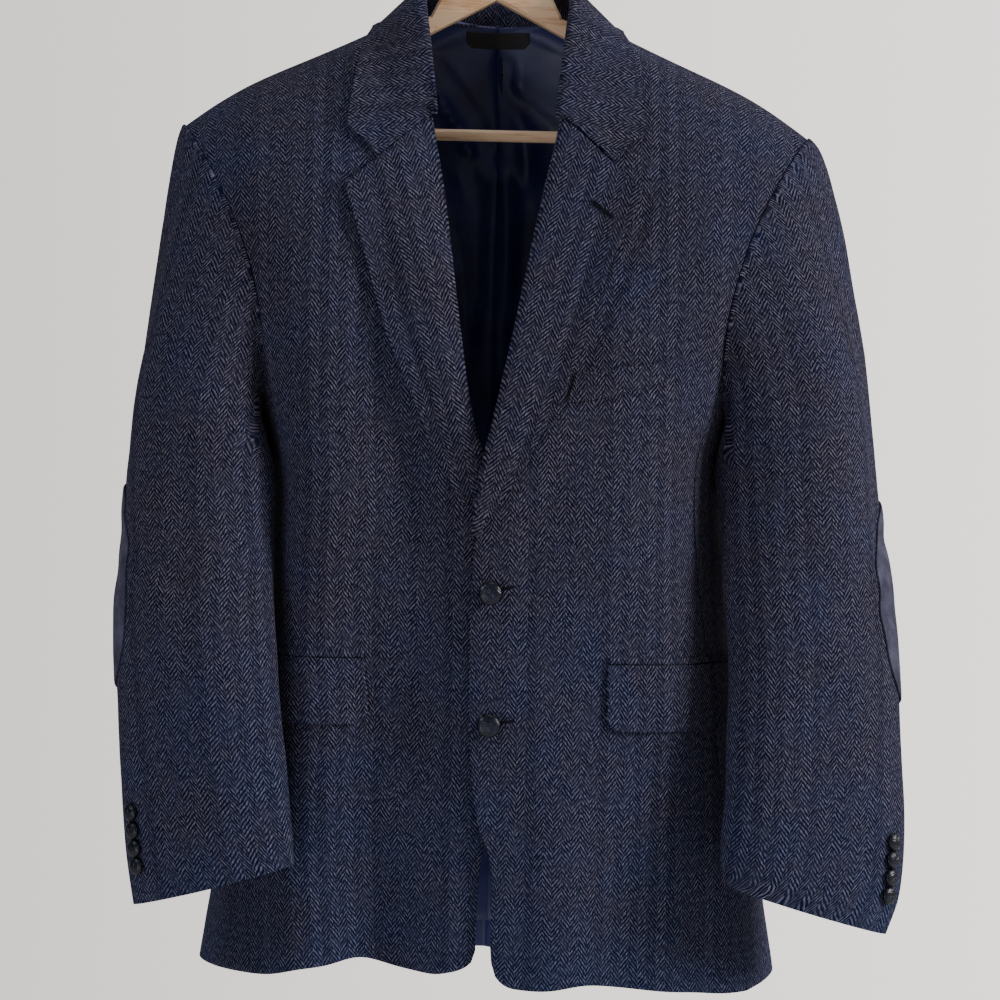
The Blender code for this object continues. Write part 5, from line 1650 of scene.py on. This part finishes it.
class JACKET_OT_buttons(bpy.types.Operator):
    """Makes the plaited leather buttons on the front and the cuffs"""
    bl_idname = "jacket.buttons"
    bl_label = "Buttons"

    def execute(self, context):
        fronts = surface(torso_rows("front", "left"), torso_rows("front", "right"))
        for number, z in enumerate(BUTTON_Z, 1):
            place = on_front(-SWAY * z, z, fronts, CLEAR)
            self.plait(f"front_button_{number}", place, Vector((0, -1, 0)),
                       BUTTON_RADIUS, BUTTON_THICK, 12.0 + 30.0 * number)
        for side, sign in SIDES.items():
            longest = SLEEVE[side][-1].down
            for number in range(4):
                down = longest - LAST_CUFF_BUTTON - CUFF_BUTTON_STEP * number
                spot = tube_point(side, down, CUFF_BUTTON_ANGLE)
                ahead = tube_point(side, down, CUFF_BUTTON_ANGLE + 2)
                lower = tube_point(side, down + 0.002, CUFF_BUTTON_ANGLE)
                facing = (ahead - spot).cross(lower - spot).normalized()
                facing = outwards_of(facing, Vector((sign, 0.0, 0.0)))
                place = spot + facing * SLEEVE_CLOTH
                self.plait(f"cuff_button_{side}_{number + 1}", place, facing,
                           CUFF_BUTTON_RADIUS, CUFF_BUTTON_THICK, 25.0 * number)
        return {"FINISHED"}

    def plait(self, name, place, facing, radius, thick, turn):
        """A dome of leather strips plaited over and under."""
        form = bmesh.new()
        bmesh.ops.create_uvsphere(form, u_segments=72, v_segments=44, radius=1.0)
        for vertex in form.verts:
            x, y, z = vertex.co
            across, down = (x - 0.10) / 0.62, (y + 0.10) / 0.62
            strand = 1.0 if (math.floor(across) + math.floor(down)) % 2 else -1.0
            lip = max(math.exp(-((abs(across - round(across)) - 0.14) / 0.07) ** 2),
                      math.exp(-((abs(down - round(down)) - 0.14) / 0.07) ** 2))
            groove = max(math.exp(-((across - round(across)) / 0.06) ** 2),
                         math.exp(-((down - round(down)) / 0.06) ** 2))
            relief = (0.02 * strand + 0.05 * lip - 0.09 * groove) * max(z, 0.0)
            vertex.co = Vector((x * radius, y * radius, (z + relief) * thick / 2 + thick / 2))
        mesh = bpy.data.meshes.new(name)
        form.to_mesh(mesh)
        form.free()
        mesh.shade_smooth()
        mesh.materials.append(finishes()["leather"])
        button = bpy.data.objects.new(f"{name}_leather", mesh)
        bpy.context.scene.collection.objects.link(button)
        button.rotation_mode = "QUATERNION"
        button.rotation_quaternion = (facing.to_track_quat("Z", "Y")
                                      @ Quaternion((0, 0, 1), math.radians(turn)))
        button.location = place
        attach(button, "root")
        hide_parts(name)


class JACKET_OT_buttonholes(bpy.types.Operator):
    """Works the buttonholes of the front and the lapel in dark twist"""
    bl_idname = "jacket.buttonholes"
    bl_label = "Buttonholes"

    def execute(self, context):
        front, lapel = front_tree("left"), surface(lapel_rows("left"))
        for name, tree, lift, start, end, half in (
            ("front_buttonhole_1", front, 0.0, (0.0020, -0.5716), (0.0232, -0.5668), 0.0011),
            ("front_buttonhole_2", front, 0.0, (0.0025, -0.6708), (0.0262, -0.6673), 0.0010),
            ("lapel_buttonhole", lapel, LAPEL, (0.0752, -0.2737), (0.0928, -0.2866), 0.0014),
        ):
            start, end = Vector((start[0], 0.0, start[1])), Vector((end[0], 0.0, end[1]))
            way = (end - start).normalized()
            across = Vector((-way.z, 0.0, way.x))
            lips, slit = [], []
            for part in steps(60):
                # It tapers from the eye at its start to the bar at its end
                wide = half * (1.0 - 0.55 * part) * math.sin(math.pi * min(part * 6.0, 1.0) / 2)
                ripple = 0.00022 * math.sin(part * (end - start).length / 0.0009 * math.pi)
                middle = start + (end - start) * part
                for sign, lip in ((1.0, 0), (-1.0, 1)):
                    spot = middle + across * sign * (wide + ripple)
                    if part == 0.0:
                        lips.append([])
                    lips[lip].append(on_front(spot.x, spot.z, tree, lift + 0.00025))
                slit.append(on_front(middle.x, middle.z, tree, lift + 0.0001))
            cord(name, [lips[0] + lips[1][::-1], slit], BUTTONHOLE_THICK, finishes()["thread"])
        return {"FINISHED"}


class JACKET_OT_lining(bpy.types.Operator):
    """Hangs the back lining and the bare neck label"""
    bl_idname = "jacket.lining"
    bl_label = "Lining and label"

    def execute(self, context):
        start = (LINING_HEM_Z - HEM_Z) / (armhole(BACK_NOTCH, 1).z - HEM_Z)
        up = steps(60, start, 1.0) + steps(64, 1.0, LINING_TOP)[1:]
        halves = []
        across = seamed(54, 0.0, LINING_REACH, last=False)
        for side in SIDES:
            rows = []
            for level in up:
                row = []
                for part in across:
                    p = placed(back_point(side, part, level), side)
                    slack = 1.6 * pressed(LINING_CREASES, p.x, p.z)
                    slack += 0.0010 * noise.noise(p * 40.0)
                    deep = CLOTH + LINING_SPACE + max(slack, LINING_NEAR)
                    row.append(p + trunk_inwards(p) * deep)
                rows.append(row)
            flat = grain(rows, 0, [0.0] * len(rows))
            dips = {"left": 0.0007}
            shaped = sunk(rows, **dips) if side == "left" else sunk_mirrored(rows, **dips)
            wide = flat
            if side == "right":
                shaped, wide = turned_under(
                    shaped, wide, lambda p: -trunk_inwards(p), "first", LINING_TUCK)
            piece = shell(f"back_lining_{side}_satin", shaped, wide, Vector((0, -1, 0)), LINING,
                          (finishes()["satin"],), rounded=0.0003)
            hang(piece, flat, node=f"back_lining_{side}")
            halves.append(rows)
        tree, rows = surface(*halves), []
        for down in steps(10):
            drop = max(0.0, down - 0.68) / 0.32
            half = LABEL_WIDTH / 2 - LABEL_CORNER * drop
            z = LABEL_TOP_Z - LABEL_HEIGHT * down
            rows.append([on_front(x - SWAY * z, z, tree, CLEAR) for x in steps(28, -half, half)])
        flat = [[(p.x, p.z) for p in row] for row in rows]
        piece = shell("neck_label_tape", rows, flat, Vector((0, -1, 0)), LABEL_CLOTH,
                      (finishes()["label"],), outwards=True, rounded=0.0002)
        hang(piece, flat, node="neck_label")
        return {"FINISHED"}


class JACKET_OT_hanger(bpy.types.Operator):
    """Finishes the wooden hanger and bends its wire hook"""
    bl_idname = "jacket.hanger"
    bl_label = "Hanger"

    def execute(self, context):
        for node, wood in (("hanger_wood", "board"), ("hanger_bar", "dowel")):
            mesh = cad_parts[node].data
            mesh.materials.clear()
            mesh.materials.append(finishes()[wood])
        centre = Vector((0.0, 0.0, -(HOOK_RADIUS - HOOK_WIRE)))
        points = [centre + Vector((math.cos(a), 0.0, math.sin(a))) * HOOK_RADIUS
                  for a in (math.radians(d) for d in range(195, -46, -5))]
        points += smoothed([points[-1], Vector((0.0035, 0.0, -0.0415)),
                            Vector((0.0, 0.0, -0.048)),
                            Vector((0.0, 0.0, WOOD_TOP_Z + 0.0003))], 18)[1:]
        hook = cord("hanger_hook_wire", [points], HOOK_WIRE, finishes()["wire"], fine=6)
        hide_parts("hanger_hook")
        return {"FINISHED"}


class JACKET_PT_build(bpy.types.Panel):
    """The jacket's pieces, in the order they are made"""
    bl_label = "Hacking jacket"
    bl_space_type = "VIEW_3D"
    bl_region_type = "UI"
    bl_category = "Jacket"

    def draw(self, context):
        for operator in OPERATORS:
            self.layout.operator(operator.bl_idname)
        for group in (context.scene.jacket_looks, context.scene.jacket_stage):
            box = self.layout.box()
            for name in group.__annotations__:
                box.prop(group, name)


OPERATORS = (
    JACKET_OT_stage, JACKET_OT_torso, JACKET_OT_sleeves, JACKET_OT_lapels, JACKET_OT_collar,
    JACKET_OT_pockets, JACKET_OT_patches, JACKET_OT_buttons, JACKET_OT_buttonholes,
    JACKET_OT_lining, JACKET_OT_hanger,
)
CLASSES = (JacketLooks, JacketStage, *OPERATORS, JACKET_PT_build)


def register():
    for cls in CLASSES:
        bpy.utils.register_class(cls)
    bpy.types.Scene.jacket_looks = bpy.props.PointerProperty(type=JacketLooks)
    bpy.types.Scene.jacket_stage = bpy.props.PointerProperty(type=JacketStage)


def unregister():
    del bpy.types.Scene.jacket_stage
    del bpy.types.Scene.jacket_looks
    for cls in reversed(CLASSES):
        bpy.utils.unregister_class(cls)


def main():
    """Registers the add-on and makes every piece."""
    register()
    for operator in OPERATORS:
        group, name = operator.bl_idname.split(".")
        getattr(getattr(bpy.ops, group), name)()


if __name__ == "__main__":
    main()
